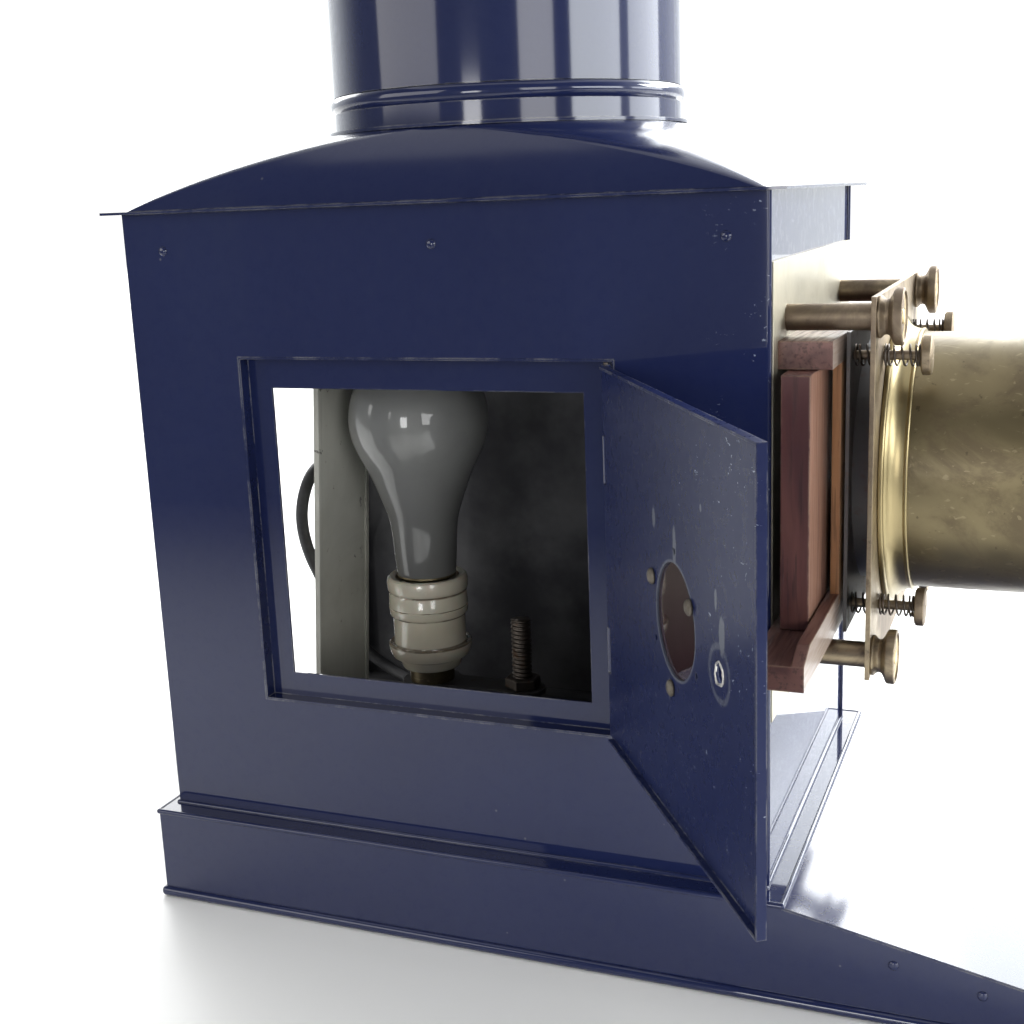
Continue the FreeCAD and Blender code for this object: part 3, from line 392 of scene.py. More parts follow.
def door_enamel():
    """The lamp door's enamel: scratches over the window, a wear ring and bare metal at the latch hole."""
    look = enamel("door_enamel", faded=0.02, gloss=0.26)
    tone = look.shader.inputs["Base Color"].links[0].from_socket
    pane = look.add("ShaderNodeVectorRotate", Vector=look.point, Center=HINGE, Angle=-DOOR_OPEN)
    pane.rotation_type = "Z_AXIS"
    flat = pane.outputs[0]
    ring_at = look.near_point(flat, LATCH)
    waver = look.calc("MULTIPLY", look.noise(90, 3), 2.2 * MM)
    ring = look.calc("ABSOLUTE", look.calc("SUBTRACT", look.calc("ADD", ring_at, waver), 10.6 * MM))
    marks = look.calc("MULTIPLY", look.span(ring, 1.5 * MM, 0.5 * MM), 0.4)
    # (distance from the hinge, height) and half sizes, in mm
    scuffs = [
        ((68.0, 223.4), (2.4, 8, 5)), ((91.8, 217.5), (2.6, 8, 9.5)), ((139.5, 199.5), (3.6, 8, 8.5)),
        ((120.0, 238), (1.3, 6, 2.0)), ((134.0, 210), (1.5, 6, 5.0)), ((84.0, 162), (2.0, 6, 5)),
    ]
    for (from_hinge, height), size in scuffs:
        place = Vector((HINGE.x - from_hinge * MM, DOOR_FACE_Y, height * MM))
        scaled = look.add("ShaderNodeVectorMath", Vector=flat)
        scaled.operation = "SUBTRACT"
        scaled.inputs[1].default_value = place
        scale = tuple(1 / (s * MM) for s in size)
        stretch = look.add("ShaderNodeMapping", Vector=scaled.outputs[0], Scale=scale)
        reach = look.near_point(stretch.outputs[0], (0, 0, 0))
        ragged = look.calc("ADD", reach, look.calc("MULTIPLY", look.noise(150, 5, 0.75), 1.1))
        marks = look.calc("MAXIMUM", marks, look.calc("MULTIPLY", look.span(ragged, 1.45, 1.15), 0.8))
    rim = look.near_point(flat, WINDOW)
    lip = look.span(look.calc("ABSOLUTE", look.calc("SUBTRACT", rim, 21.9 * MM)), 0.9 * MM, 0.3 * MM)
    marks = look.calc("MAXIMUM", marks, look.calc("MULTIPLY", lip, 0.6))
    look.drive("Base Color", look.mix(marks, tone, (0.125, 0.135, 0.16)))
    look.drive("Coat Weight", 0.36)
    return look


def lead_rubber():
    look = Look("lead_rubber", Specular_IOR_Level=0.35)
    grime = look.noise(70, 5, 0.65)
    tone = look.mix(look.span(grime, 0.3, 0.7), (0.022, 0.022, 0.025), (0.05, 0.05, 0.053))
    look.drive("Base Color", tone)
    look.drive("Roughness", look.calc("ADD", 0.42, look.calc("MULTIPLY", grime, 0.25)))
    look.bump(look.noise(600, 3), 0.08 * MM, 0.4)
    return look.done()


def cotton():
    look = Look("cotton", Roughness=0.95, Sheen_Weight=0.3)
    warp = look.add("ShaderNodeTexWave", Vector=look.point, Scale=420, Distortion=0.6).outputs["Fac"]
    look.drive("Base Color", look.mix(warp, (0.22, 0.18, 0.12), (0.40, 0.34, 0.25)))
    look.bump(warp, 0.2 * MM, 0.5)
    return look.done()


def bakelite():
    look = Look("bakelite", Coat_Weight=0.5, Coat_Roughness=0.1)
    swirl = look.noise(45, 5, 0.6, 1.5)
    tone = look.mix(look.span(swirl, 0.35, 0.65), (0.035, 0.016, 0.010), (0.085, 0.040, 0.022))
    look.drive("Base Color", tone)
    look.drive("Roughness", look.calc("ADD", 0.25, look.calc("MULTIPLY", swirl, 0.15)))
    return look.done()


# ---- mesh helpers ----

def mesh_piece(name, points, faces, material, body):
    mesh = bpy.data.meshes.new(name)
    mesh.from_pydata([tuple(p) for p in points], [], faces)
    mesh.validate()
    mesh.update()
    mesh.materials.append(material)
    mesh.polygons.foreach_set("use_smooth", [True] * len(mesh.polygons))
    piece = bpy.data.objects.new(name, mesh)
    bpy.context.scene.collection.objects.link(piece)
    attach(piece, body)
    return piece


def frame_about(axis):
    """Two unit vectors square to axis."""
    helper = Z_AXIS if abs(axis.z) < 0.9 else X_AXIS
    u = axis.cross(helper).normalized()
    return u, axis.cross(u)


def ring_points(centre, axis, radius, count):
    u, w = frame_about(axis)
    angles = [2 * math.pi * i / count for i in range(count)]
    return [centre + (u * math.cos(a) + w * math.sin(a)) * radius for a in angles]


def skin(rings, closed_ends=True, looped=False):
    """Quads between equal rings of points, as (points, faces)."""
    count = len(rings[0])
    points = [p for ring in rings for p in ring]
    faces = []
    pairs = [(i, i + 1) for i in range(len(rings) - 1)]
    if looped:
        pairs.append((len(rings) - 1, 0))
    for a, b in pairs:
        for i in range(count):
            j = (i + 1) % count
            faces.append((a * count + i, a * count + j, b * count + j, b * count + i))
    if closed_ends and not looped:
        faces.append(tuple(reversed(range(count))))
        faces.append(tuple(range((len(rings) - 1) * count, len(rings) * count)))
    return points, faces


def sharpen(piece, degrees=32):
    """Smooth shading that breaks at real corners."""
    limit = math.cos(math.radians(degrees))
    mesh = piece.data
    normals = {}
    for face in mesh.polygons:
        for key in face.edge_keys:
            normals.setdefault(key, []).append(face.normal.copy())
    sharp = [len(n) == 2 and n[0].dot(n[1]) < limit for n in (normals.get(e.key, []) for e in mesh.edges)]
    attribute = mesh.attributes.new("sharp_edge", "BOOLEAN", "EDGE")
    attribute.data.foreach_set("value", sharp)
    return piece


def turned(name, start, axis, outline, material, body, slot, count=72, ribs=None):
    """Turned part from (along, radius) pairs in mm; ribs (first, last, depth) knurls those points."""
    rings = []
    for i, (along, radius) in enumerate(outline):
        ring = ring_points(start + axis * along * MM, axis, max(radius, 0.02) * MM, count)
        if ribs and ribs[0] <= i <= ribs[1]:
            centre = start + axis * along * MM
            cut = 1 - ribs[2] / radius
            ring = [centre + (p - centre) * (cut if k % 2 else 1) for k, p in enumerate(ring)]
        rings.append(ring)
    points, faces = skin(rings)
    return sharpen(mesh_piece(name, points, faces, material, body))


def curve_mesh(name, points, radius, material, body, sides=3):
    """Round wire along points, as a mesh."""
    curve = bpy.data.curves.new(name, "CURVE")
    curve.dimensions = "3D"
    curve.bevel_depth = radius
    curve.bevel_resolution = sides
    curve.use_fill_caps = True
    spline = curve.splines.new("POLY")
    spline.points.add(len(points) - 1)
    for control, point in zip(spline.points, points):
        control.co = (*point, 1)
    holder = bpy.data.objects.new(name + "_wire", curve)
    bpy.context.scene.collection.objects.link(holder)
    mesh = bpy.data.meshes.new_from_object(holder.evaluated_get(bpy.context.evaluated_depsgraph_get()))
    bpy.data.objects.remove(holder)
    mesh.materials.clear()
    mesh.materials.append(material)
    mesh.polygons.foreach_set("use_smooth", [True] * len(mesh.polygons))
    piece = bpy.data.objects.new(name, mesh)
    bpy.context.scene.collection.objects.link(piece)
    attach(piece, body)
    return piece


def paint(material, *nodes):
    for name in nodes:
        piece = frame["nodes"][name]
        if not piece.material_slots:
            piece.data.materials.append(material)
        for index in range(len(piece.material_slots)):
            piece.material_slots[index].material = material


def on_door(point):
    """A place on the closed door, carried to the open door."""
    return HINGE + Matrix.Rotation(DOOR_OPEN, 3, "Z") @ (point - HINGE)


# ---- places that several pieces share ----

DOOR_FACE_Y = HINGE.y + 0.9 * MM
DOOR_SHEET = 1.0 * MM
WINDOW = Vector((HINGE.x - 91.6 * MM, DOOR_FACE_Y, 190 * MM))
BEZEL = Vector((HINGE.x - 87.2 * MM, DOOR_FACE_Y, 187.9 * MM))
SCREW_CIRCLE = 24.7 * MM
LATCH = Vector((HINGE.x - 137.2 * MM, DOOR_FACE_Y, 185.5 * MM))
# heights and half widths of the grooves round the porcelain holder, in metres
HOLDER_GROOVES = [(0.1373, 0.0009), (0.1293, 0.0004), (0.1243, 0.0008), (0.1088, 0.0009), (0.1006, 0.0008)]


# ---- camera, light and floor ----

CAMERA_PLACE = (0.25894, -0.64099, 0.34098)
CAMERA_YAW = 22.2522
CAMERA_PITCH = -12.9043
CAMERA_ROLL = -2.30687


def make_camera():
    camera = bpy.data.objects.new("camera", bpy.data.cameras.new("camera"))
    bpy.context.scene.collection.objects.link(camera)
    bpy.context.scene.camera = camera
    camera.data.lens = 48.26
    camera.data.sensor_width = 36.0
    camera.data.clip_start = 0.01
    camera.data.clip_end = 50
    heading = Matrix.Rotation(math.radians(CAMERA_YAW), 3, "Z")
    pitch = Matrix.Rotation(math.radians(90 + CAMERA_PITCH), 3, "X")
    roll = Matrix.Rotation(math.radians(CAMERA_ROLL), 3, "Z")
    camera.matrix_world = Matrix.Translation(CAMERA_PLACE) @ (heading @ pitch @ roll).to_4x4()


def area_light(name, place, target, width, height, power, tone=(1, 1, 1)):
    lamp = bpy.data.lights.new(name, "AREA")
    lamp.shape = "RECTANGLE"
    lamp.size, lamp.size_y = width, height
    lamp.energy = power
    lamp.color = tone
    piece = bpy.data.objects.new(name, lamp)
    piece.location = place
    piece.rotation_euler = (Vector(target) - Vector(place)).to_track_quat("-Z", "Y").to_euler()
    bpy.context.scene.collection.objects.link(piece)


def make_world():
    """Bright from behind the lantern, dim from the camera's side; plain white to the camera."""
    world = bpy.data.worlds.new("studio")
    bpy.context.scene.world = world
    world.use_nodes = True
    tree = world.node_tree
    tree.nodes.clear()

    def add(kind, *links):
        node = tree.nodes.new(kind)
        for index, socket in links:
            tree.links.new(socket, node.inputs[index])
        return node

    def eased(node, source, target):
        node.interpolation_type = "SMOOTHSTEP"
        for socket, value in zip(node.inputs[1:5], (*source, *target)):
            socket.default_value = value
        return node.outputs[0]

    direction = add("ShaderNodeTexCoord").outputs["Generated"]
    parts = add("ShaderNodeSeparateXYZ", (0, direction))

    def joined(operation, a, b):
        node = add("ShaderNodeMath", (0, a), (1, b))
        node.operation = operation
        return node.outputs[0]

    def ramp(letter, source, target):
        return eased(add("ShaderNodeMapRange", (0, parts.outputs[letter])), source, target)

    back = ramp("Y", (-0.15, 0.5), (0.24, 1.3))
    low = ramp("Z", (0.25, 0.5), (1.0, 0.6))
    # a bright patch behind the lantern, which its sloped front deck mirrors
    width = joined("MULTIPLY", ramp("X", (-0.14, 0.0), (0.0, 1.0)), ramp("X", (0.35, 0.55), (1.0, 0.0)))
    height = joined("MULTIPLY", ramp("Z", (0.22, 0.34), (0.0, 1.0)), ramp("Z", (0.58, 0.72), (1.0, 0.0)))
    patch = joined("MULTIPLY", joined("MULTIPLY", width, height), ramp("Y", (0.3, 0.6), (0.0, 9.0)))
    strength = joined("ADD", joined("MULTIPLY", back, low), patch)
    around = add("ShaderNodeBackground", (1, strength))
    around.inputs["Color"].default_value = (0.93, 0.97, 1.0, 1)
    seen = add("ShaderNodeBackground")
    seen.inputs["Color"].default_value = (1, 1, 1, 1)
    seen.inputs["Strength"].default_value = 1.15
    camera_ray = add("ShaderNodeLightPath").outputs["Is Camera Ray"]
    both = add("ShaderNodeMixShader", (0, camera_ray), (1, around.outputs[0]), (2, seen.outputs[0]))
    add("ShaderNodeOutputWorld", (0, both.outputs[0]))


def make_studio():
    make_world()
    area_light("overhead", (0.0, 0.3, 2.6), (0, 0.0, 0.0), 3.2, 3.2, 30)
    area_light("front_left", (-1.6, -1.7, 1.1), (0, 0, 0.2), 2.0, 1.2, 22, (1.0, 0.98, 0.95))
    area_light("front_right", (1.2, -1.4, 0.5), (0, 0, 0.2), 0.7, 0.7, 8)
    area_light("window_front", (0.0, -1.6, 0.3), (-0.05, 0, 0.22), 0.30, 0.42, 4)
    area_light("window_right", (2.0, -0.35, 0.65), (0, 0, 0.45), 1.3, 0.5, 20, (0.93, 0.97, 1.0))
    area_light("window_side", (2.0, 1.2, 0.65), (0, 0, 0.45), 1.3, 0.5, 14, (0.93, 0.97, 1.0))
    area_light("window_back", (2.1, 2.2, 1.6), (0.2, 0.2, 0), 1.5, 0.9, 150, (0.95, 0.98, 1.0))
    area_light("back_wash", (-3.5, 6.0, 3.0), (-3.0, 5.0, 0), 9.0, 5.0, 620)
    floor = mesh_floor(-0.9, 6.5)
    bpy.context.scene.view_settings.view_transform = "Standard"


def mesh_floor(front, reach):
    """A table top that ends in front of the lantern, so that its near side mirrors a dim room; its front
    part is painted near black, a painted shade standing in for that dim room.
    """
    mesh = bpy.data.meshes.new("floor")
    corners = [(-reach, front, 0), (reach, front, 0), (reach, reach, 0), (-reach, reach, 0)]
    mesh.from_pydata(corners, [], [(0, 1, 2, 3)])
    look = Look("floor", Roughness=0.38, Specular_IOR_Level=0.5)
    pale = look.mix(look.noise(3, 2), (0.88, 0.875, 0.85), (0.92, 0.915, 0.895))
    # painted shade: near black at the front edge, fading to the pale top by Y = -0.35 m
    look.drive("Base Color", look.mix(look.span(look.axis("Y"), front, -0.35), (0.06, 0.06, 0.06), pale))
    mesh.materials.append(look.done())
    floor = bpy.data.objects.new("floor", mesh)
    floor.location.z = -0.2 * MM
    bpy.context.scene.collection.objects.link(floor)
    return floor


# ---- mains lead ----

# all in mm: the route to the coil, the coil's (radius, height) places, and the tail to the plug
CORD_R = 3.4
LEAD_ROUTE = [
    (-69.5, 26.8, 68), (-86, 46, 65), (-107, 57, 66), (-125, 54, 79), (-133, 43, 101), (-136, 30, 127),
    (-136, 14, 152), (-136, 10.3, 174), (-136, 22.8, 192), (-138, 44, 196), (-142, 64, 182), (-148, 73, 157),
    (-155, 82, 130), (-160, 92, 104), (-163.5, 101, 78), (-165.5, 107, 55), (-166, 106.5, 34),
    (-166, 97.5, 17), (-165.4, 84.5, 7.2), (-165.4, 72.2, 3.9), (-167.6, 60, 3.6),
]
TAIL_ROUTE = [(-262.3, 90, 10.9), (-263.2, 108, 12.6), (-264.5, 128, 14.2)]
COIL_PLACES = [(44, 3.6), (37, 3.6), (30, 3.6), (30, 10.6), (37, 10.6), (44, 10.6)]
COIL_LAPS = 5.5
COIL_STEPS = 16
COIL_SHIFT = 0.125


def coil_points():
    """Turns side by side in two layers, clockwise; each move to the next place comes COIL_SHIFT sooner."""
    centre = middle("cord_coil") / MM
    points = []
    for step in range(2, int(COIL_LAPS * COIL_STEPS) + 1):
        lap = step / COIL_STEPS
        place = 0.0
        for move in range(len(COIL_PLACES) - 1):
            begin = 1 - COIL_SHIFT + move * (1 - COIL_SHIFT)
            place += min(1.0, max(0.0, (lap - begin) / COIL_SHIFT))
        first = min(int(place), len(COIL_PLACES) - 2)
        share = place - first
        low, high = COIL_PLACES[first], COIL_PLACES[first + 1]
        radius = (low[0] + (high[0] - low[0]) * share) * 1.02
        height = low[1] + (high[1] - low[1]) * share
        angle = -2 * math.pi * lap
        points.append((centre.x + radius * math.cos(angle), centre.y + radius * math.sin(angle), height))
    return points


def make_lead(rubber, tape, moulded):
    curve = bpy.data.curves.new("mains_lead", "CURVE")
    curve.dimensions = "3D"
    curve.bevel_depth = CORD_R * MM
    curve.bevel_resolution = 6
    curve.use_fill_caps = True
    spline = curve.splines.new("NURBS")
    route = LEAD_ROUTE + coil_points() + TAIL_ROUTE
    spline.points.add(len(route) - 1)
    for control, point in zip(spline.points, route):
        control.co = (*(c * MM for c in point), 1)
    spline.order_u = 3
    spline.use_endpoint_u = True
    spline.resolution_u = 6
    curve.materials.append(rubber)
    lead = bpy.data.objects.new("mains_lead", curve)
    bpy.context.scene.collection.objects.link(lead)
    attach(lead, "lamp_carriage")
    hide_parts("lamp_cord", "cord_coil", "cord_tail")
    band = tie_band(tape)
    paint(rubber, "cord_grip")
    paint(moulded, "mains_plug")


def tie_band(tape):
    """Cotton band wound twice round the coil's bundle, slightly waisted."""
    low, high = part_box("cord_tie")
    centre = (low + high) / 2
    rings = []
    half_y, half_z = (high.y - low.y) / 2 - 0.6 * MM, (high.z - low.z) / 2 - 0.6 * MM
    corner = 3.2 * MM
    for i in range(40):
        angle = 2 * math.pi * i / 40
        c, s = math.cos(angle), math.sin(angle)
        y = math.copysign(min(abs(c) * 1.42, 1.0) * (half_y - corner) + abs(c) * corner, c)
        z = math.copysign(min(abs(s) * 1.42, 1.0) * (half_z - corner) + abs(s) * corner, s)
        out = Vector((0, c, s)) * 0.5 * MM
        p = Vector((centre.x, centre.y + y, centre.z + z))
        side = Vector((3.8 * MM, 0, 0))
        rings.append([p - side - out, p + side - out, p + side + out, p - side + out])
    points, faces = skin(rings, looped=True)
    band = sharpen(mesh_piece("tie_band", points, faces, tape, "lamp_carriage"))
    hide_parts("cord_tie")
    return band


# ---- lamp ----

def make_lamp(glaze, glass_skin, cap_metal, wire):
    low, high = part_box("lamp_holder")
    foot = Vector(((low.x + high.x) / 2, 0, 0))
    outline = [
        (95, 0), (95, 15.4), (96.2, 16.3), (99.6, 17.0), (100.4, 17.2), (100.8, 18.6), (101.6, 20.6),
        (104.5, 22.0), (107.6, 22.6), (108.6, 22.5), (109.1, 21.8), (109.0, 20.6), (108.4, 19.9),
        (109.6, 19.5), (123.4, 19.5), (124.0, 19.7), (124.6, 20.5), (125.6, 21.1), (128.7, 21.3),
        (129.2, 20.9), (129.7, 21.3), (136.4, 20.9), (137.2, 20.4), (138.0, 21.2), (139.2, 21.7),
        (143.6, 21.8), (145.2, 21.3), (146, 20.2), (146, 18.3), (145.3, 17.1), (143.8, 16.8), (121, 16.8),
        (120, 0),
    ]
    holder = turned("porcelain_holder", foot, Z_AXIS, outline, glaze, "lamp_carriage", "porcelain", 96)
    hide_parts("lamp_holder")
    envelope = [
        (146.2, 15.5), (150, 16.0), (157, 16.6), (166, 17.2), (173, 17.8), (179, 19.0), (184, 20.6),
        (192, 23.4), (200, 26.4), (206, 29.2), (212.5, 32.5), (220, 35.4), (229, 36.8), (238, 36.0),
        (246, 33.2), (253, 27.6), (258.5, 20.2), (261.8, 11.0), (262.9, 0),
    ]
    smooth = smoothed(envelope, 5)
    inner = [(along - 0.35, max(radius - 0.9, 0)) for along, radius in reversed(smooth)]
    bulb = turned("bulb_envelope", foot, Z_AXIS, smooth + inner, glass_skin, "lamp_carriage",
                  "frosted_glass", 96)
    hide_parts("lamp_bulb")
    cap = [(120.5, 4.0), (122, 9.5), (124, 12.0)]
    for turn in range(4):
        cap += [(126 + 4.6 * turn, 12.4), (127.6 + 4.6 * turn, 13.2), (129.4 + 4.6 * turn, 12.4)]
    cap += [(145.6, 13.3), (147.2, 15.6), (146.2, 15.9), (145.0, 14.0)]
    turned("bulb_cap", foot, Z_AXIS, cap, cap_metal, "lamp_carriage", "tube_brass", 64)
    stem = [
        (147.4, 9.5), (150, 7.4), (158, 6.0), (170, 5.0), (176, 4.4), (178, 2.2), (202, 2.0), (204, 3.6),
        (206, 3.6), (207, 0),
    ]
    turned("bulb_stem", foot, Z_AXIS, stem, wire, "lamp_carriage", "frosted_glass", 32)


def smoothed(outline, steps):
    """Catmull-Rom points through an outline's pairs."""
    padded = [outline[0]] + outline + [outline[-1]]
    fine = []
    for a, b, c, d in zip(padded, padded[1:], padded[2:], padded[3:]):
        for i in range(steps):
            t = i / steps
            fine.append(tuple(0.5 * (2 * q + (r - p) * t + (2 * p - 5 * q + 4 * r - s) * t * t
                                     + (3 * q - p - 3 * r + s) * t ** 3)
                              for p, q, r, s in zip(a, b, c, d)))
    fine.append(outline[-1])
    return fine


def make_lamp_screw(steel):
    """Threaded rod with its foot and two hexagon nuts."""
    low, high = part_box("lamp_screw")
    foot = Vector((middle("lamp_screw").x, 0, low.z))
    height = (high.z - low.z) / MM
    pitch, count = 2.3, 36
    steps = int(height / pitch * 8)
    rings = []
    for i in range(steps + 1):
        along = height * i / steps
        ring = []
        for k, p in enumerate(ring_points(foot + Z_AXIS * along * MM, Z_AXIS, 1.0, count)):
            phase = (along / pitch + k / count) % 1.0
            radius = 5.45 - 0.95 * abs(2 * phase - 1)
            centre = foot + Z_AXIS * along * MM
            ring.append(centre + (p - centre) * radius * MM)
        rings.append(ring)
    points, faces = skin(rings)
    rod = mesh_piece("threaded_rod", points, faces, steel, "lamp_carriage")
    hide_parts("lamp_screw")
    turned("rod_foot", foot, Z_AXIS, [(0, 5.6), (0, 11.4), (0.6, 12), (3.2, 12), (4, 11.2), (4, 5.6)],
           steel, "lamp_carriage", "bare_steel", 48)
    arm_low, arm_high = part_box("bracket_arm")
    for label, base in (("lower", arm_low.z - 6 * MM), ("upper", arm_high.z)):
        seat = Vector((foot.x, 0, base))
        outline = [(0.05, 5.6), (0.05, 8.6), (0.7, 9.5), (5.3, 9.5), (5.95, 8.6), (5.95, 5.6)]
        turned("rod_nut_" + label, seat, Z_AXIS, outline, steel, "lamp_carriage", "bare_steel", 6)


# ---- slide stage ----

def corner_places(node, radius):
    """Four (y, z) middles of a node's parts at the corners of a square about the optical axis."""
    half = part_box(node)[1].y - radius * MM
    return [(sy * half, AXIS.z + sz * half) for sy in (-1, 1) for sz in (-1, 1)]


def make_thumb_nuts(metal, bright):
    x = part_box("front_plate")[1].x
    outline = [(0, 3.1), (0, 8.4), (0.8, 8.7), (1.5, 8.3), (2.2, 7.4), (3.2, 7.0), (4.3, 7.4), (5.2, 8.8),
               (6.0, 10.6), (6.6, 11.4), (7.2, 11.6), (9.3, 11.6), (9.9, 11.3), (10.2, 10.6)]
    for i, (y, z) in enumerate(corner_places("thumb_nuts", 11.6)):
        start = Vector((x, y, z))
        nut = turned(f"thumb_nut_{i}", start, X_AXIS, outline + [(10.2, 10.2), (9.2, 9.6)], metal,
                     "lamphouse", "stage_brass", 90, (10, 11, 0.28))
        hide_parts("thumb_nuts")
        dish = [(8.9, 9.7), (9.4, 9.7), (9.5, 8.6), (9.0, 6.8), (8.7, 4.2), (8.6, 3.4), (9.6, 3.0),
                (9.9, 2.4), (9.95, 0)]
        turned(f"thumb_nut_dish_{i}", start, X_AXIS, dish, bright, "lamphouse", "flange_brass", 48)


HEAD_OUTLINE = [
    (0.02, 7.2), (0.5, 8.0), (0.9, 8.2), (3.4, 8.2), (3.8, 8.0), (4.2, 7.2), (4.2, 1.2), (3.5, 1.0),
]


def make_spring_screws(metal, steel):
    plate_low, plate_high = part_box("front_plate")
    screws_low, screws_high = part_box("spring_screws")
    pressure_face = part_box("inner_springs")[0].x
    head_x = screws_high.x - 4.2 * MM
    for i, (y, z) in enumerate(corner_places("spring_screws", 8.2)):
        start = Vector((screws_low.x, y, z))
        reach = (head_x - screws_low.x) / MM
        outline = [(0, 2.0), (reach, 2.0)]
        outline += [(reach + along, radius) for along, radius in HEAD_OUTLINE]
        screw = turned(f"spring_screw_{i}", start, X_AXIS, outline, metal, "pressure_plate", "stage_brass",
                       72, (4, 5, 0.3))
        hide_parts("spring_screws")
        inner = coil_wire(f"inner_spring_{i}", pressure_face, plate_low.x - 0.2 * MM, y, z, 4.2, steel,
                          "lamphouse")
        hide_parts("inner_springs")
        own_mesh(inner)
        outer = coil_wire(f"outer_spring_{i}", plate_high.x + 0.3 * MM, head_x - 0.1 * MM, y, z, 6.8,
                          steel, "pressure_plate")
        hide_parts("outer_springs")


def coil_wire(name, x0, x1, y, z, turns, steel, body):
    """Round-wire compression spring with closed ends, along X."""
    wire = 0.45 * MM
    radius = 4.3 * MM
    steps = int(turns * 20)
    points = []
    for k in range(steps + 1):
        t = k / steps
        eased = t - 0.10 * math.sin(2 * math.pi * t)
        angle = 2 * math.pi * turns * t
        x = x0 + wire + (x1 - x0 - 2 * wire) * min(max(eased, 0), 1)
        points.append(Vector((x, y + radius * math.cos(angle), z + radius * math.sin(angle))))
    return curve_mesh(name, points, wire, steel, body, 2)


def make_bell_flange(metal):
    """Polished flange: flat ring, dark groove, concave sweep up to the tube."""
    start = Vector((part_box("front_plate")[1].x, 0, AXIS.z))
    outline = [
        (0, 58.2), (0, 66.4), (0.5, 66.9), (1.7, 66.9), (2.2, 66.5), (2.5, 65.6), (2.1, 65.0), (2.1, 64.5),
        (2.7, 64.1), (3.6, 62.7), (4.8, 61.3), (6.4, 60.2), (8.2, 59.6), (9.6, 59.4), (10.2, 59.7),
        (10.9, 59.7), (11.3, 59.3), (11.4, 58.2),
    ]
    flange = turned("bell_ring", start, X_AXIS, outline, metal, "lamphouse", "flange_brass", 160)
    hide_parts("bell_flange")


# ---- rivets and door trim ----

def make_rivets(paint_look):
    """Domed heads where the CAD has its rivets, found as separate islands of its mesh."""
    piece = frame["nodes"]["body_rivets"]
    profile = ((-0.2, 2.2), (0.1, 2.2), (0.55, 1.95), (0.9, 1.35), (1.08, 0.6), (1.1, 0.05))
    rings_all, faces_all = [], []
    for low, high in islands(piece.data):
        centre, size = (low + high) / 2, high - low
        thin = min(range(3), key=lambda k: size[k])
        axis = Vector((0, 0, 0))
        axis[thin] = 1.0 if centre[thin] > 0 else -1.0
        base = centre - axis * size[thin] / 2
        points, faces = skin([ring_points(base + axis * h * MM, axis, r * MM, 20) for h, r in profile])
        offset = len(rings_all)
        rings_all += points
        faces_all += [tuple(offset + i for i in face) for face in faces]
    heads = mesh_piece("rivet_heads", rings_all, faces_all, paint_look, "lamphouse")
    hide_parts("body_rivets")


def islands(mesh):
    """(lowest, highest) corner of each connected island, joined by position."""
    parent = {}

    def find(key):
        while parent.setdefault(key, key) != key:
            key = parent[key]
        return key

    def key_of(index):
        return tuple(round(c, 6) for c in mesh.vertices[index].co)

    for face in mesh.polygons:
        keys = [find(key_of(i)) for i in face.vertices]
        for other in keys[1:]:
            parent[find(other)] = find(keys[0])
    groups = {}
    for key in list(parent):
        groups.setdefault(find(key), []).append(Vector(key))
    ordered = sorted(groups.values(), key=lambda group: tuple(group[0]))
    return [(Vector(map(min, *group)), Vector(map(max, *group))) for group in ordered]


def make_window_screws(rusty):
    """Flat heads outside the door, domed nuts inside."""
    outward = Matrix.Rotation(DOOR_OPEN, 3, "Z") @ Vector((0, -1, 0))
    outline = [(-7.4, 1.5), (-7.4, 2.7), (-6.6, 2.95), (-4.3, 2.95), (-4.2, 1.5), (-0.6, 1.5), (0, 1.5),
               (0, 3.0), (0.6, 3.2), (1.3, 2.9), (1.8, 2.1), (2.0, 1.0), (2.02, 0)]
    for i, degrees in enumerate((30, 150, 270)):
        angle = math.radians(degrees)
        place = BEZEL + Vector((-math.cos(angle), 0, math.sin(angle))) * SCREW_CIRCLE
        inner_face = on_door(place + Y_AXIS * DOOR_SHEET)
        screw = turned(f"window_screw_{i}", inner_face, -outward, outline, rusty, "lamp_door",
                       "brass_screws", 24)
        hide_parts("window_screws")


def make_latch_tear(steel):
    """Torn lip of bare metal round the empty latch hole."""
    outward = Matrix.Rotation(DOOR_OPEN, 3, "Z") @ Vector((0, -1, 0))
    centre = on_door(LATCH + Y_AXIS * DOOR_SHEET)
    count = 40
    rings = []
    for radius, lift in ((3.62, -0.9), (3.5, 0.15), (3.9, 0.75), (4.3, 0.2), (4.35, -0.1)):
        ring = []
        for k, p in enumerate(ring_points(centre, outward, 1.0, count)):
            angle = 2 * math.pi * k / count
            rag = 0.35 * math.sin(3 * angle + 0.7) + 0.25 * math.sin(7 * angle)
            rag += 0.15 * math.sin(13 * angle + 2)
            high = lift * (0.55 + 0.6 * max(0.0, math.sin(angle + 0.5)))
            away = radius + rag * (0.9 if lift > 0 else 0.1)
            ring.append(centre + (p - centre) * away * MM - outward * high * MM)
        rings.append(ring)
    points, faces = skin(rings, closed_ends=False)
    mesh_piece("latch_tear", points, faces, steel, "lamp_door")


# ---- everything together ----

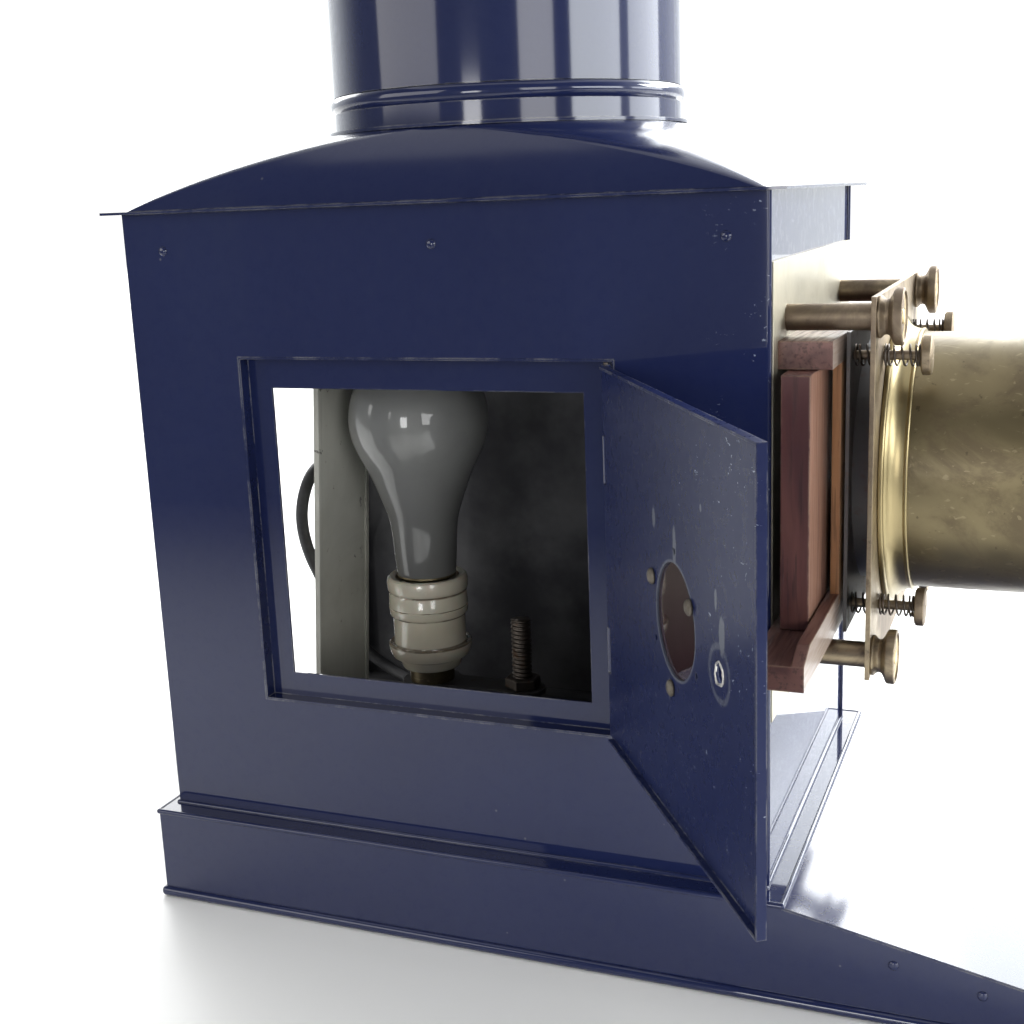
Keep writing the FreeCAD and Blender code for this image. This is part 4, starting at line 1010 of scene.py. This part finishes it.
make_camera()
make_studio()
lead = lead_rubber()
steel = plain_metal("dull_steel", (0.15, 0.128, 0.11), 0.45, 1.0, 0.6, 0.5)
bare = plain_metal("torn_metal", (0.62, 0.60, 0.57), 0.35, 1.0, 0.2)
tarnished = brass("stage_brass", (0.40, 0.325, 0.215), (0.20, 0.155, 0.115), 0.52, 0.36, 1.6)
stage = brass("stage_sheet", (0.50, 0.465, 0.37), (0.40, 0.365, 0.28), 0.45, 0.36, 1.0, 0.4)
polished = brass("flange_brass", (0.31, 0.252, 0.135), (0.23, 0.185, 0.10), 0.38, 0.30, 1.2, 0.5)
dish = brass("dish_brass", (0.56, 0.43, 0.22), (0.32, 0.23, 0.12), 0.42, 0.32, 3.0)
old_brass = tube_brass()
rusty = brass("screw_brass", (0.185, 0.165, 0.14), (0.10, 0.085, 0.07), 0.5, 0.45, 5.0)
shell = enamel("body_enamel", hollow=True).done()
trim = enamel("trim_enamel").done()
pipe = enamel("pipe_enamel", gloss=0.09, drawn=0.35).done()
dome = enamel("dome_enamel", gloss=0.16).done()
deck = enamel("deck_enamel", faded=0.12, gloss=0.11).done()
black = plain_metal("black_paint", (0.040, 0.039, 0.040), 0.45, 0.0, 0.4, 0.25)
# painted sheen: a lighter copy of the black paint, standing in for the light the black pressure plate
# reflects
black_with_painted_sheen = plain_metal("black_with_painted_sheen", (0.15, 0.14, 0.14), 0.42, 0.0, 0.5, 0.3)
carrier_wood = wood("carrier_wood", (0.070, 0.024, 0.021), (0.15, 0.058, 0.045), 0.6, (0.24, 0.125, 0.085))
rail_wood = wood("rail_wood", (0.075, 0.030, 0.024), (0.16, 0.072, 0.055), 0.5, (0.32, 0.245, 0.2),
                 grain=(1, 0.06, 1))
board_wood = wood("board_wood", (0.26, 0.115, 0.045), (0.42, 0.21, 0.095), 0.3, (0.42, 0.22, 0.11))
clear_glass = glass("clear_glass", (0.95, 0.97, 0.96), 0.0, 1.0)
dark_glass = glass("dark_glass", (0.05, 0.025, 0.03), 0.03, 0.25, Coat_Weight=1.0, Coat_Roughness=0.02)

make_lead(lead, cotton(), bakelite())
make_lamp(porcelain(), bulb_glass(), old_brass, glass("bulb_stem", (0.8, 0.82, 0.8), 0.2, 0.2))
make_lamp_screw(steel)
make_thumb_nuts(tarnished, dish)
make_spring_screws(tarnished, steel)
make_bell_flange(polished)
make_rivets(trim)
make_window_screws(rusty)
make_latch_tear(bare)

paint(shell, "near_wall", "far_wall", "front_wall", "back_wall", "door_frame", "floor_plate")
paint(deck, "front_deck")
paint(trim, "base_tray", "rim_bead", "foot_bead", "eaves_flange", "hinge_leaf", "window_bezel")
paint(dome, "roof_dome")
paint(pipe, "chimney_collar", "chimney_pipe", "chimney_cowl", "cowl_struts")
paint(door_enamel().done(), "door_panel")
paint(black, "floor_runners", "lamp_tray", "bracket_arm", "condenser_barrel")
paint(black_with_painted_sheen, "pressure_plate")
paint(stage, "stage_plate")
paint(tarnished, "front_plate", "pillars")
paint(old_brass, "lens_tube", "lens_tube_cap", "objective_jacket", "draw_tube", "focus_pinion",
      "condenser_rings", "holder_cap")
paint(carrier_wood, "carrier_frame")
paint(rail_wood, "top_rail", "bottom_rail")
paint(board_wood, "aperture_board")
paint(clear_glass, "condenser_lenses", "objective_lenses", "glass_slides")
paint(dark_glass, "window_glass")
paint(reflector_paint(), "reflector_plate")
paint(steel, "hinge_pin")
